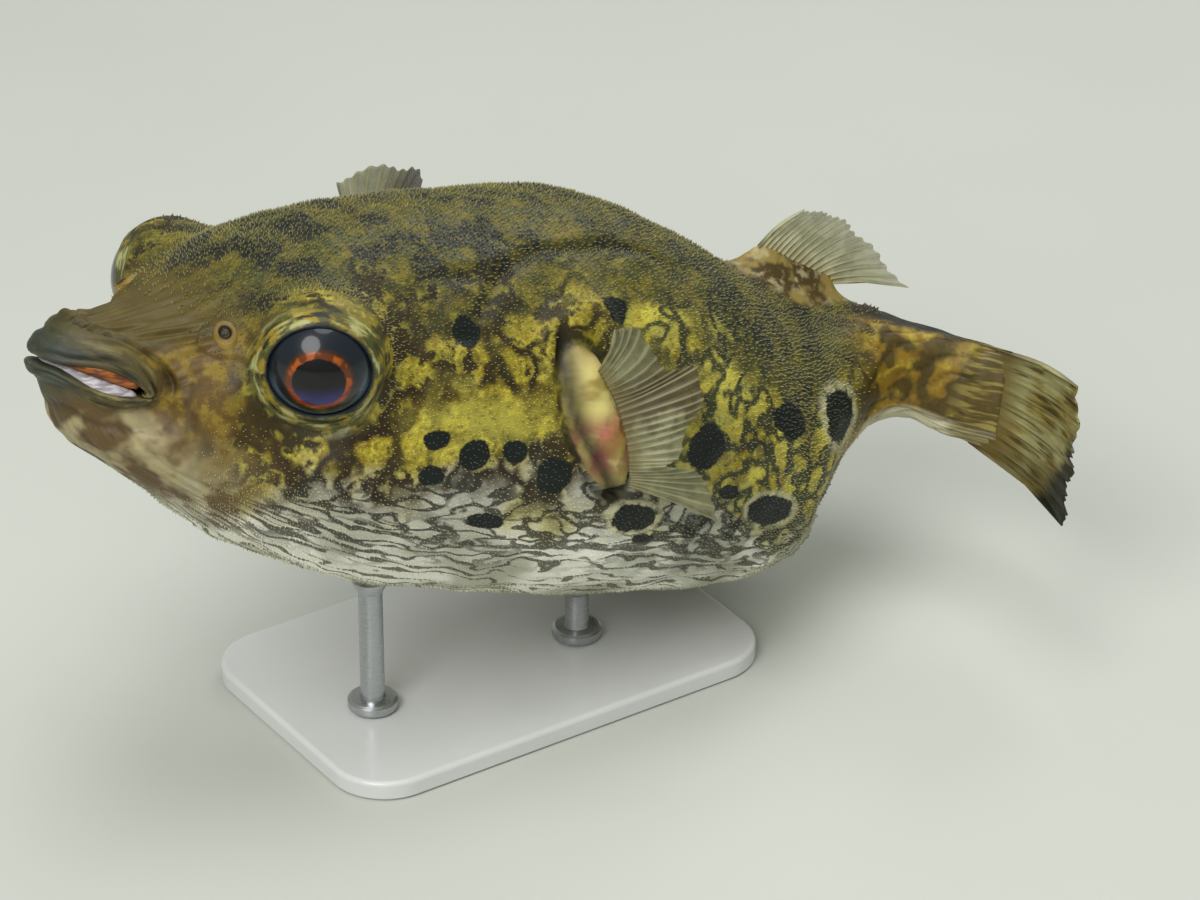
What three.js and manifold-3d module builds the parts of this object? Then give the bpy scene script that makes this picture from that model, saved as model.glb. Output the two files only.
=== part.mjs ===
// Freshwater humpback pufferfish, life size, on a plain display stand.
// Millimetres, +Z up. The snout points to -X and the tail to +X; the fish's left side faces -Y.
// The origin is the centre of the underside of the stand's base.
import * as THREE from 'three';
import { mergeVertices } from 'three/addons/utils/BufferGeometryUtils.js';
import Module from 'manifold-3d';

const wasm = await Module();
wasm.setup();

// ---- driving dimensions ------------------------------------------------------------------

// Side and top outline of the body, at stations along its length from the tip of the lips.
// at: station, top and bottom: height of the back and belly over the body's axis, half: half width
const OUTLINE = [
  { at: 0, top: 5.2, bottom: -1.4, half: 3.4 },
  { at: 3, top: 7.8, bottom: -3.8, half: 5.9 },
  { at: 8, top: 9.2, bottom: -6.9, half: 9.1 },
  { at: 15, top: 11.8, bottom: -11.2, half: 13.8 },
  { at: 24, top: 17.8, bottom: -16.5, half: 18.9 },
  { at: 36, top: 20.9, bottom: -20.6, half: 21.6 },
  { at: 50, top: 22.3, bottom: -22.9, half: 23.1 },
  { at: 66, top: 22.9, bottom: -24.1, half: 23.8 },
  { at: 82, top: 18.6, bottom: -24.5, half: 22.8 },
  { at: 94, top: 13.1, bottom: -23.6, half: 21.2 },
  { at: 102, top: 10.1, bottom: -21.0, half: 19.0 },
  { at: 110, top: 9.6, bottom: -9.2, half: 12.4 },
  { at: 118, top: 8.6, bottom: -3.2, half: 5.8 },
  { at: 127, top: 8.0, bottom: -5.0, half: 2.2 },
  { at: 152, top: 8.0, bottom: -5.0, half: 2.2 },
];
const SNOUT_ROUND = 1.6; // length of the rounded front of the lips, ahead of station 0
const WIDEST = 0.4; // height of the widest line, as a share of the way from belly to back
const BACK_ROUNDNESS = 2.15; // exponent of the upper half of a section, 2 is an ellipse
const BELLY_ROUNDNESS = 2.5;

const NOSE_UP = THREE.MathUtils.degToRad(15.5); // the whole fish hovers with its head raised
const ROLL = THREE.MathUtils.degToRad(-8); // and its left side a little higher than its right
const SNOUT_X = -58; // where the axis meets the tip of the lips
const SNOUT_Z = 55.2;

// The tail swings to the fish's left in three bends, each from one station to another.
const TAIL_BENDS = [
  { from: 86, to: 110, turn: THREE.MathUtils.degToRad(25) },
  { from: 106, to: 127, turn: THREE.MathUtils.degToRad(36) },
  { from: 122, to: 146, turn: THREE.MathUtils.degToRad(52) },
];
const BODY_END = 127; // the tail fin starts here

const GILL_CUT = 53.5; // head and trunk part here
const TAIL_CUT = 105; // trunk and tail stem part here
const SEAM = 0.3; // gap between two neighbouring pieces

// each eyeball: its station, its height, its distance from the middle plane, and how far its
// gaze turns towards the snout and down
const EYE = { at: 25.4, height: 8.6, side: 16.1, radius: 6.5, yaw: 33, dip: 19, seat: 2.2 };
const TURRET = { long: 7.7, tall: 7.0, deep: 6.9 }; // swelling of the head round each eyeball
const EYE_OPENING = 5.5; // radius of the round opening in the skin

const MOUTH = { height: 3.7, reach: 8.6, bow: 0.112, gape: 1.25 };
const LIP = { upper: 1.55, lower: 1.8, deep: 1.2, inset: 0.6 }; // half sizes of the lips' rolls
const BEAK = { inset: 2.15, tall: 0.8, deep: 0.7, reach: 6.2 };

const NOSTRIL = { at: 16.5, around: 37, radius: 1.1, height: 1.5, pit: 0.55 };

const FIN_EDGE = 0.6; // thickness of a fin at its margin
const FIN_ROOT = 1.1; // thickness of a fin at its root
const FIN_BOW = 0.8; // how far a spread pectoral fin bulges outwards

const PECTORAL = { at: 59.4, around: 77, long: 8.8, wide: 3.7, thick: 3.2, sunk: 0.9, lean: 24 };

// The rays of a pectoral fin from top to bottom, in its foot's own axes:
// [root: how far down the foot, tip: how far down, back and outwards].
// The left fin is half folded, with its lowest rays apart; the right one is fanned upwards.
const LEFT_RAYS = [
  [-6.0, -11.4, 1.4, 6.4], [-5.0, -10.8, 3.8, 6.6], [-3.8, -6.8, 5.6, 6.8], [-2.6, -3.8, 7.2, 6.9],
  [-1.4, -2.9, 10.2, 7.0], [0.2, 0.0, 9.7, 7.0], [2.0, 1.9, 8.5, 7.0], [3.8, 3.7, 6.6, 6.8],
  [5.2, 6.1, 4.7, 6.5], [6.2, 6.4, 3.2, 5.6], [7.0, 8.6, 6.4, 6.1], [7.6, 11.7, 8.0, 5.8],
  [8.2, 15.4, 7.7, 5.6],
];
const RIGHT_RAYS = [
  [-6.0, -13.2, 2.4, 8.5], [-5.0, -14.2, 5.2, 7.6], [-3.8, -14.5, 8.2, 6.3], [-2.6, -13.6, 10.6, 5.6],
  [-1.4, -10.4, 12.4, 5.8], [0.2, -6.2, 13.0, 6.4], [2.0, -1.8, 13.0, 7.0], [3.8, 2.4, 12.4, 7.2],
  [5.2, 6.0, 11.4, 7.2], [6.2, 9.2, 10.2, 7.0], [7.0, 11.8, 9.0, 6.6], [7.6, 13.8, 7.8, 6.2],
  [8.2, 15.2, 6.4, 5.8],
];

const BASE = { long: 58, wide: 38, thick: 2.5, corner: 7 };
const ROD = { radius: 1.5, front: 48, rear: 78 };

const AROUND = 28; // faces around the body
const STEP = 0.5; // step of the axis, mm

// ---- small helpers -----------------------------------------------------------------------

const vec = (x, y, z) => new THREE.Vector3(x, y, z);
const degrees = THREE.MathUtils.degToRad;
const lerp = THREE.MathUtils.lerp;

// 0 before the start, 1 after the end, and a smooth rise between them
function ease(value, start, end) {
  return THREE.MathUtils.smoothstep(value, start, end);
}

// a power that keeps the sign, for superellipse sections
function signedPower(value, power) {
  return Math.sign(value) * Math.abs(value) ** power;
}

// Slope at station i of one outline column: the harmonic mean of its two neighbours' slopes,
// and flat at a high or low point, so that the curve never swings past its stations.
function slopeAt(column, i) {
  const chord = (j) => (OUTLINE[j + 1][column] - OUTLINE[j][column]) / (OUTLINE[j + 1].at - OUTLINE[j].at);
  if (i === 0) return chord(0);
  if (i === OUTLINE.length - 1) return chord(i - 1);
  const before = chord(i - 1);
  const after = chord(i);
  if (before * after <= 0) return 0;
  const left = OUTLINE[i].at - OUTLINE[i - 1].at;
  const right = OUTLINE[i + 1].at - OUTLINE[i].at;
  const weightBefore = 2 * right + left;
  const weightAfter = right + 2 * left;
  return (weightBefore + weightAfter) / (weightBefore / before + weightAfter / after);
}

// value of one outline column at any station, on a cubic through the stations
function outline(column, at) {
  let i = 0;
  while (i < OUTLINE.length - 2 && at > OUTLINE[i + 1].at) i += 1;
  const length = OUTLINE[i + 1].at - OUTLINE[i].at;
  const t = THREE.MathUtils.clamp((at - OUTLINE[i].at) / length, 0, 1);
  const start = OUTLINE[i][column];
  const end = OUTLINE[i + 1][column];
  const riseStart = slopeAt(column, i) * length;
  const riseEnd = slopeAt(column, i + 1) * length;
  return (2 * t ** 3 - 3 * t ** 2 + 1) * start + (t ** 3 - 2 * t ** 2 + t) * riseStart
    + (3 * t ** 2 - 2 * t ** 3) * end + (t ** 3 - t ** 2) * riseEnd;
}

// ---- the body's own coordinates ----------------------------------------------------------

// how far the axis has turned to the left at a station
function heading(at) {
  return TAIL_BENDS.reduce((sum, bend) => sum + bend.turn * ease(at, bend.from, bend.to), 0);
}

// direction of the axis, of the fish's right side and of its back, before the nose is raised
function frameAt(at) {
  const turn = heading(at);
  const back = vec(Math.cos(turn), -Math.sin(turn), 0);
  const right = vec(Math.sin(turn), Math.cos(turn), 0);
  return { back, right, up: vec(0, 0, 1) };
}

// the axis, walked in short steps from station 0
const axisPoints = [vec(0, 0, 0)];
for (let at = 0; at < OUTLINE[OUTLINE.length - 1].at; at += STEP) {
  const middle = frameAt(at + STEP / 2).back;
  axisPoints.push(axisPoints[axisPoints.length - 1].clone().addScaledVector(middle, STEP));
}

function axisAt(at) {
  if (at <= 0) return vec(at, 0, 0);
  const place = Math.min(at / STEP, axisPoints.length - 1.001);
  const i = Math.floor(place);
  return axisPoints[i].clone().lerp(axisPoints[i + 1], place - i);
}

// turns a direction from the fish's own axes to the stand's: first the roll, then the raised nose
function turned(direction) {
  return direction.applyAxisAngle(vec(1, 0, 0), ROLL).applyAxisAngle(vec(0, 1, 0), NOSE_UP);
}

// carries a point from the fish's own axes to the stand's
function toStand(point) {
  return turned(point).add(vec(SNOUT_X, 0, SNOUT_Z));
}

// point at a station, a distance to the fish's right, and a height over the axis
function bodyPoint(at, side, height) {
  const frame = frameAt(at);
  return toStand(axisAt(at).addScaledVector(frame.right, side).addScaledVector(frame.up, height));
}

// point of the skin: around is 0 at the back, 90 degrees at the left side, 180 at the belly
function skinPoint(at, around) {
  const station = Math.max(at, 0);
  const top = outline('top', station);
  const bottom = outline('bottom', station);
  const half = outline('half', station);
  const middle = lerp(bottom, top, WIDEST);
  const upper = Math.cos(around) > 0;
  const power = 2 / (upper ? BACK_ROUNDNESS : BELLY_ROUNDNESS);
  const shrink = at < 0 ? Math.sqrt(Math.max(0, 1 - (at / SNOUT_ROUND) ** 2)) : 1;
  const reach = upper ? top - middle : middle - bottom;
  const side = -half * signedPower(Math.sin(around), power) * shrink;
  const height = middle + reach * signedPower(Math.cos(around), power) * shrink;
  return bodyPoint(at, side, height);
}

// outward direction of the skin, from two short steps along it
function skinNormal(at, around) {
  const small = 0.05;
  const here = skinPoint(at, around);
  const along = skinPoint(at + small, around).sub(here);
  const across = skinPoint(at, around + small / 10).sub(here);
  return along.cross(across).normalize().negate();
}

// ---- closed meshes -----------------------------------------------------------------------

function geometryOf(points, faces) {
  const geometry = new THREE.BufferGeometry();
  geometry.setAttribute('position', new THREE.Float32BufferAttribute(points.flatMap((p) => p.toArray()), 3));
  geometry.setIndex(faces);
  return geometry;
}

// a closed skin over rings of points that all run the same way round; each end is a fan
function closedRings(rings) {
  const count = rings[0].length;
  const points = rings.flat();
  const faces = [];
  for (let r = 0; r < rings.length - 1; r += 1) {
    for (let i = 0; i < count; i += 1) {
      const a = r * count + i;
      const b = r * count + (i + 1) % count;
      faces.push(a, b, a + count, b, b + count, a + count);
    }
  }
  const centre = (ring) => ring.reduce((sum, p) => sum.add(p), vec(0, 0, 0)).divideScalar(count);
  const first = points.push(centre(rings[0])) - 1;
  const last = points.push(centre(rings[rings.length - 1])) - 1;
  const lastRing = (rings.length - 1) * count;
  for (let i = 0; i < count; i += 1) {
    faces.push(first, (i + 1) % count, i);
    faces.push(last, lastRing + i, lastRing + (i + 1) % count);
  }
  return facingOut(geometryOf(points, faces));
}

// turns every face over when the mesh holds a negative volume
function facingOut(geometry) {
  const at = geometry.getAttribute('position');
  const index = geometry.getIndex().array;
  const corner = (i) => vec(at.getX(i), at.getY(i), at.getZ(i));
  let volume = 0;
  for (let i = 0; i < index.length; i += 3) {
    volume += corner(index[i]).dot(corner(index[i + 1]).cross(corner(index[i + 2])));
  }
  if (volume < 0) {
    for (let i = 0; i < index.length; i += 3) {
      [index[i], index[i + 1]] = [index[i + 1], index[i]];
    }
  }
  return geometry;
}

function toSolid(geometry) {
  const bare = geometry.clone();
  bare.deleteAttribute('normal');
  bare.deleteAttribute('uv');
  const merged = mergeVertices(bare, 1e-4);
  const vertProperties = new Float32Array(merged.getAttribute('position').array);
  const triVerts = new Uint32Array(merged.getIndex().array);
  return new wasm.Manifold(new wasm.Mesh({ numProp: 3, vertProperties, triVerts }));
}

// the largest body of a cut solid, without the crumbs that the cuts left round the mouth
function fromSolid(solid) {
  const bodies = solid.decompose().sort((a, b) => b.volume() - a.volume());
  const mesh = bodies[0].getMesh();
  const geometry = new THREE.BufferGeometry();
  geometry.setAttribute('position', new THREE.BufferAttribute(new Float32Array(mesh.vertProperties), 3));
  geometry.setIndex(new THREE.BufferAttribute(new Uint32Array(mesh.triVerts), 1));
  return geometry;
}

// ---- flesh: head, trunk and tail stem ----------------------------------------------------

// length of body between two stations, closed flat at both ends
function bodyLength(from, to, steps, around = AROUND) {
  const rings = [];
  for (let i = 0; i <= steps; i += 1) {
    const at = lerp(from, to, i / steps);
    const ring = [];
    for (let j = 0; j < around; j += 1) ring.push(skinPoint(at, (j / around) * 2 * Math.PI));
    rings.push(ring);
  }
  return closedRings(rings);
}

// the rounded front of the snout is walked in even turns, and the rest in even steps
function headLength() {
  const stations = [];
  for (let i = 1; i < 4; i += 1) stations.push(-SNOUT_ROUND * Math.cos((i / 4) * (Math.PI / 2)));
  for (let at = 0; at < 12; at += 2) stations.push(at);
  for (let i = 0; i <= 11; i += 1) stations.push(lerp(12, GILL_CUT, i / 11));
  const turns = [...Array(AROUND).keys()].map((j) => (j / AROUND) * 2 * Math.PI);
  return closedRings(stations.map((at) => turns.map((around) => skinPoint(at, around))));
}

// -1 for the fish's left side and 1 for its right
const SIDES = [{ name: 'left', sign: -1 }, { name: 'right', sign: 1 }];

function eyeCentre(sign) {
  return bodyPoint(EYE.at, sign * EYE.side, EYE.height);
}

// the way an eye looks: outwards, turned towards the snout and down
function gaze(sign) {
  const yaw = degrees(EYE.yaw);
  const dip = degrees(EYE.dip);
  return turned(vec(-Math.sin(yaw) * Math.cos(dip), sign * Math.cos(yaw) * Math.cos(dip), -Math.sin(dip)));
}

// an ellipsoid placed by its centre and three axes at right angles
function ellipsoid(centre, axes, sizes, columns, rows) {
  const geometry = new THREE.SphereGeometry(1, columns, rows);
  const [x, y, z] = axes.map((axis, i) => axis.clone().multiplyScalar(sizes[i]));
  geometry.applyMatrix4(new THREE.Matrix4().makeBasis(x, y, z).setPosition(centre));
  return facingOut(geometry);
}

// right-handed axes whose third one is the given direction
function axesAlong(direction) {
  const third = direction.clone().normalize();
  const first = new THREE.Vector3().crossVectors(vec(0, 0, 1), third).normalize();
  const second = new THREE.Vector3().crossVectors(third, first);
  return [first, second, third];
}

function turret(sign) {
  const sizes = [TURRET.long, TURRET.tall, TURRET.deep];
  return ellipsoid(eyeCentre(sign), axesAlong(gaze(sign)), sizes, 16, 10);
}

// a solid of revolution about the gaze, from a profile of [radius, distance from the eye's centre]
function onGaze(sign, profile) {
  const geometry = new THREE.LatheGeometry(profile.map(([x, y]) => new THREE.Vector2(x, y)), 16);
  const [x, y, z] = axesAlong(gaze(sign));
  geometry.applyMatrix4(new THREE.Matrix4().makeBasis(y, z, x).setPosition(eyeCentre(sign)));
  return facingOut(mergeVertices(bareOf(geometry), 1e-4));
}

// the front of an eyeball: a round cap of its full radius on a short straight wall
function eyeball(sign) {
  const wall = EYE_OPENING - SEAM;
  const profile = [[0, EYE.seat + SEAM], [wall, EYE.seat + SEAM]];
  const widest = Math.asin(wall / EYE.radius);
  for (let i = 0; i <= 5; i += 1) {
    const turn = widest * (1 - i / 5);
    profile.push([EYE.radius * Math.sin(turn), EYE.radius * Math.cos(turn)]);
  }
  profile[profile.length - 1][0] = 0;
  return onGaze(sign, profile);
}

// the round well in the head that an eyeball sits in
function eyeWell(sign) {
  const depth = EYE.radius * 2;
  return onGaze(sign, [[0, EYE.seat], [EYE_OPENING, EYE.seat], [EYE_OPENING, depth], [0, depth]]);
}

// ---- mouth -------------------------------------------------------------------------------

// the line of the mouth seen from above is a bow from one corner, round the front, to the other
function mouthPoint(side, inward, height) {
  const at = MOUTH.bow * side * side;
  const slope = 2 * MOUTH.bow * side;
  const length = Math.hypot(1, slope);
  return bodyPoint(at + inward / length, side - (slope * inward) / length, MOUTH.height + height);
}

// a roll of round or oval section along the bow of the mouth
function mouthRoll({ inward, height, tall, deep, reach, grow = 0, detail = [10, 8] }) {
  const steps = detail[0];
  const around = detail[1];
  const rings = [];
  for (let i = 0; i <= steps; i += 1) {
    const share = (i / steps) * 2 - 1;
    const taper = Math.sqrt(Math.max(0.16, 1 - share ** 4 * 0.7));
    const ring = [];
    for (let j = 0; j < around; j += 1) {
      const turn = (j / around) * 2 * Math.PI;
      const across = (deep * taper + grow) * Math.cos(turn);
      const rise = (tall * taper + grow) * Math.sin(turn);
      ring.push(mouthPoint(share * (reach + grow), inward + across, height + rise));
    }
    rings.push(ring);
  }
  return closedRings(rings);
}

function upperLip(grow) {
  return mouthRoll({
    inward: LIP.inset, height: LIP.upper + 0.25, tall: LIP.upper, deep: LIP.deep, reach: MOUTH.reach, grow,
  });
}

function lowerLip(grow) {
  return mouthRoll({
    inward: LIP.inset, height: -LIP.lower - 0.25, tall: LIP.lower, deep: LIP.deep, reach: MOUTH.reach, grow,
  });
}

function beak(sign, grow) {
  const height = sign * (BEAK.tall + 0.2);
  const inward = BEAK.inset + BEAK.deep;
  const { tall, deep, reach } = BEAK;
  return mouthRoll({ inward, height, tall, deep, reach, grow, detail: [8, 6] });
}

// the thin hollow between the lips
function mouthHollow() {
  const centre = bodyPoint(7.5, 0, MOUTH.height);
  const axes = [turned(vec(1, 0, 0)), vec(0, 1, 0), turned(vec(0, 0, 1))];
  return ellipsoid(centre, axes, [9.0, 9.7, MOUTH.gape], 22, 6);
}

// ---- nostrils ----------------------------------------------------------------------------

// a short tube of skin with a shallow pit in its end
function nostril(sign) {
  const { radius, height, pit } = NOSTRIL;
  const profile = [[0, -0.6], [radius, -0.6], [radius * 0.9, height * 0.7], [radius * 0.75, height],
    [pit, height * 0.9], [pit * 0.8, height * 0.3], [0, height * 0.3]];
  const geometry = new THREE.LatheGeometry(profile.map(([x, y]) => new THREE.Vector2(x, y)), 10);
  const around = -sign * degrees(NOSTRIL.around);
  const [x, y, z] = axesAlong(skinNormal(NOSTRIL.at, around));
  const foot = skinPoint(NOSTRIL.at, around);
  geometry.applyMatrix4(new THREE.Matrix4().makeBasis(y, z, x).setPosition(foot));
  return facingOut(mergeVertices(bareOf(geometry), 1e-4));
}

function nostrilSeat(sign) {
  const around = -sign * degrees(NOSTRIL.around);
  const axes = axesAlong(skinNormal(NOSTRIL.at, around));
  const size = NOSTRIL.radius + SEAM;
  return ellipsoid(skinPoint(NOSTRIL.at, around), axes, [size * 1.1, size * 1.1, 0.9 + SEAM], 10, 6);
}

function bareOf(geometry) {
  geometry.deleteAttribute('normal');
  geometry.deleteAttribute('uv');
  return geometry;
}

// ---- fins --------------------------------------------------------------------------------

// A closed plate between two sides. place(u, v) is its middle surface: u runs along the root
// and v from the root to the margin. The plate is thickest at the root.
function finPlate(place, columns, rows) {
  const small = 1e-3;
  const middle = (u, v) => place(u, v);
  const normal = (u, v) => {
    const du = middle(Math.min(u + small, 1), v).sub(middle(Math.max(u - small, 0), v));
    const dv = middle(u, Math.min(v + small, 1)).sub(middle(u, Math.max(v - small, 0)));
    return du.cross(dv).normalize();
  };
  const points = [];
  const rim = [];
  for (const side of [1, -1]) {
    for (let i = 0; i <= columns; i += 1) {
      for (let j = 0; j <= rows; j += 1) {
        const u = i / columns;
        const v = j / rows;
        const half = lerp(FIN_ROOT, FIN_EDGE, v) / 2;
        points.push(middle(u, v).addScaledVector(normal(u, v), half * side));
      }
    }
  }
  const offset = (columns + 1) * (rows + 1);
  const index = (i, j) => i * (rows + 1) + j;
  const faces = [];
  for (let i = 0; i < columns; i += 1) {
    for (let j = 0; j < rows; j += 1) {
      const [a, b, c, d] = [index(i, j), index(i + 1, j), index(i + 1, j + 1), index(i, j + 1)];
      faces.push(a, b, c, a, c, d);
      faces.push(offset + a, offset + c, offset + b, offset + a, offset + d, offset + c);
    }
  }
  for (let i = 0; i < columns; i += 1) rim.push(index(i, 0));
  for (let j = 0; j < rows; j += 1) rim.push(index(columns, j));
  for (let i = columns; i > 0; i -= 1) rim.push(index(i, rows));
  for (let j = rows; j > 0; j -= 1) rim.push(index(0, j));
  rim.forEach((a, i) => {
    const b = rim[(i + 1) % rim.length];
    faces.push(a, a + offset, b, b, a + offset, b + offset);
  });
  return facingOut(geometryOf(points, faces));
}

// the tail fin goes on along the body's own bending axis
function tailFin() {
  return finPlate((u, v) => {
    const length = 22.2 - 3.4 * (1 - u) ** 3 - 0.7 * Math.sin(u * 19) * v;
    const rootHeight = lerp(7.8, -4.8, u);
    const flare = lerp(degrees(0), degrees(-15), u) * (1 - 0.3 * v);
    const height = rootHeight + length * v * Math.sin(flare);
    return bodyPoint(BODY_END + SEAM + length * v * Math.cos(flare), 0, height);
  }, 16, 6);
}

// a fan of rays in the middle plane of the body: each ray is given by its root and tip,
// as [station along the body, height], measured straight on from the station where it stands
function medianFin(stand, roots, tips, lean) {
  const frame = frameAt(stand);
  const origin = axisAt(stand);
  const along = (list, u) => {
    const place = Math.min(u * (list.length - 1), list.length - 1.001);
    const i = Math.floor(place);
    const t = ease(place - i, 0, 1) * 0.35 + (place - i) * 0.65;
    return [lerp(list[i][0], list[i + 1][0], t), lerp(list[i][1], list[i + 1][1], t)];
  };
  return finPlate((u, v) => {
    const [rootAt, rootHeight] = along(roots, u);
    const [tipAt, tipHeight] = along(tips, u);
    const at = lerp(rootAt, tipAt, v) - stand;
    const height = lerp(rootHeight, tipHeight, v);
    const side = lean * v * v;
    return toStand(origin.clone().addScaledVector(frame.back, at)
      .addScaledVector(frame.right, side).addScaledVector(frame.up, height));
  }, 12, 4);
}

const DORSAL = {
  stand: 100,
  roots: [[97.2, 16.9], [100.4, 16.0], [103.6, 14.3], [106.8, 12.8]],
  tips: [[102.0, 20.8], [105.8, 20.4], [110.2, 17.8], [117.0, 12.0]],
  lean: -1.0,
};
const ANAL = {
  stand: 105,
  roots: [[101.0, -22.2], [103.4, -21.2], [105.8, -19.4], [107.6, -17.0]],
  tips: [[103.6, -24.6], [107.0, -23.4], [109.4, -20.8], [110.4, -17.4]],
  lean: 0.8,
};

// The muscular foot of a median fin: rings of an oval from the skin up to the rays' roots.
// feet and tops are [station, height, half length] of the lowest and highest oval.
function finFoot({ stand, foot, top, halfFoot, halfTop, thickFoot, thickTop }) {
  const frame = frameAt(stand);
  const origin = axisAt(stand);
  const rings = [];
  const steps = 5;
  for (let i = 0; i <= steps; i += 1) {
    const t = i / steps;
    const swell = 1 + 0.12 * Math.sin(Math.PI * t);
    const long = lerp(halfFoot, halfTop, t) * swell;
    const thick = lerp(thickFoot, thickTop, ease(t, 0, 1)) * swell;
    const ring = [];
    for (let j = 0; j < 16; j += 1) {
      const turn = (j / 16) * 2 * Math.PI;
      const at = lerp(foot[0], top[0], t) + long * Math.cos(turn) - stand;
      const height = lerp(foot[1], top[1], t) + (top[2] * t + foot[2] * (1 - t)) * Math.cos(turn);
      ring.push(toStand(origin.clone().addScaledVector(frame.back, at)
        .addScaledVector(frame.right, thick * Math.sin(turn)).addScaledVector(frame.up, height)));
    }
    rings.push(ring);
  }
  return closedRings(rings);
}

const DORSAL_FOOT = {
  stand: 100, foot: [100.8, 7.6, -1.6], top: [102.2, 14.4, -2.2],
  halfFoot: 7.4, halfTop: 5.2, thickFoot: 5.2, thickTop: 0.9,
};
const ANAL_FOOT = {
  stand: 105, foot: [102.0, -14.0, 2.6], top: [104.2, -18.6, 2.8],
  halfFoot: 4.8, halfTop: 3.6, thickFoot: 3.6, thickTop: 0.9,
};

// axes of the pectoral fin's foot: down its length, outwards, and back along the body
function pectoralAxes(sign) {
  const around = -sign * degrees(PECTORAL.around);
  const out = skinNormal(PECTORAL.at, around);
  const rear = skinPoint(PECTORAL.at + 1, around).sub(skinPoint(PECTORAL.at - 1, around)).normalize();
  const down = new THREE.Vector3().crossVectors(rear, out).multiplyScalar(-sign).normalize();
  const lean = degrees(PECTORAL.lean);
  const long = down.clone().multiplyScalar(Math.cos(lean)).addScaledVector(rear, Math.sin(lean));
  const wide = rear.clone().multiplyScalar(Math.cos(lean)).addScaledVector(down, -Math.sin(lean));
  return { centre: skinPoint(PECTORAL.at, around), long, wide, out };
}

function pectoralFoot(sign, grow = 0) {
  const { centre, long, wide, out } = pectoralAxes(sign);
  const sizes = [PECTORAL.long + grow, PECTORAL.wide + grow, PECTORAL.thick + grow];
  const seat = centre.clone().addScaledVector(out, -PECTORAL.sunk);
  return ellipsoid(seat, [long, wide, out], sizes, 14, 10);
}

// The fan runs from root to tip along each ray and bows a little outwards on the way.
function pectoralFin(sign, rays) {
  const { centre, long, wide, out } = pectoralAxes(sign);
  const ray = (u) => {
    const place = Math.min(u * (rays.length - 1), rays.length - 1.001);
    const i = Math.floor(place);
    return rays[i].map((value, k) => lerp(value, rays[i + 1][k], place - i));
  };
  return finPlate((u, v) => {
    const [place, down, back, off] = ray(u);
    const oval = Math.sqrt(Math.max(0, 1 - (place / (PECTORAL.long + 0.6)) ** 2));
    const rootBack = PECTORAL.wide * oval * 0.4 + SEAM;
    const rootOff = PECTORAL.thick * oval * 0.9 - PECTORAL.sunk + SEAM + FIN_ROOT / 2;
    return centre.clone().addScaledVector(long, lerp(place, down, v))
      .addScaledVector(wide, lerp(rootBack, back, v))
      .addScaledVector(out, lerp(rootOff, off, v) + 4 * FIN_BOW * v * (1 - v));
  }, 24, 3);
}

// ---- stand -------------------------------------------------------------------------------

function standBase() {
  const x = BASE.long / 2;
  const y = BASE.wide / 2;
  const r = BASE.corner;
  const shape = new THREE.Shape();
  shape.moveTo(-x + r, -y);
  shape.lineTo(x - r, -y);
  shape.absarc(x - r, -y + r, r, -Math.PI / 2, 0, false);
  shape.absarc(x - r, y - r, r, 0, Math.PI / 2, false);
  shape.absarc(-x + r, y - r, r, Math.PI / 2, Math.PI, false);
  shape.absarc(-x + r, -y + r, r, Math.PI, Math.PI * 1.5, false);
  return new THREE.ExtrudeGeometry(shape, { depth: BASE.thick, bevelEnabled: false, curveSegments: 5 });
}

// a straight rod with a round tip that stops just under the belly
function standRod(at) {
  const tip = skinPoint(at, Math.PI).addScaledVector(skinNormal(at, Math.PI), ROD.radius + SEAM);
  const foot = BASE.thick + SEAM;
  const profile = [new THREE.Vector2(0, foot), new THREE.Vector2(ROD.radius, foot)];
  for (let i = 0; i <= 4; i += 1) {
    const turn = (i / 4) * (Math.PI / 2);
    const wide = i === 4 ? 0 : ROD.radius * Math.cos(turn);
    profile.push(new THREE.Vector2(wide, tip.z + ROD.radius * Math.sin(turn)));
  }
  const geometry = new THREE.LatheGeometry(profile, 12);
  geometry.rotateX(Math.PI / 2);
  geometry.translate(tip.x, tip.y, 0);
  return facingOut(mergeVertices(bareOf(geometry), 1e-4));
}

// ---- assembly ----------------------------------------------------------------------------

const pufferfish = new THREE.Group();

function add(name, geometry, color, roughness = 0.5, metalness = 0) {
  const mesh = new THREE.Mesh(geometry, new THREE.MeshStandardMaterial({ color, roughness, metalness }));
  mesh.name = name;
  pufferfish.add(mesh);
}

function buildHead() {
  let head = toSolid(headLength());
  for (const { sign } of SIDES) head = head.add(toSolid(turret(sign)));
  for (const { sign } of SIDES) {
    head = head.subtract(toSolid(eyeWell(sign))).subtract(toSolid(nostrilSeat(sign)));
  }
  head = head.subtract(toSolid(mouthHollow()));
  for (const roll of [upperLip(SEAM), lowerLip(SEAM), beak(1, SEAM), beak(-1, SEAM)]) {
    head = head.subtract(toSolid(roll));
  }
  return fromSolid(head);
}

function buildTrunk() {
  let trunk = toSolid(bodyLength(GILL_CUT + SEAM, TAIL_CUT, 14));
  for (const { sign } of SIDES) trunk = trunk.subtract(toSolid(pectoralFoot(sign, SEAM)));
  trunk = trunk.subtract(toSolid(finFoot(grown(DORSAL_FOOT)))).subtract(toSolid(finFoot(grown(ANAL_FOOT))));
  return fromSolid(trunk);
}

function buildTailStem() {
  let stem = toSolid(bodyLength(TAIL_CUT + SEAM, BODY_END, 8, 24));
  stem = stem.subtract(toSolid(finFoot(grown(DORSAL_FOOT)))).subtract(toSolid(finFoot(grown(ANAL_FOOT))));
  return fromSolid(stem);
}

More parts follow.
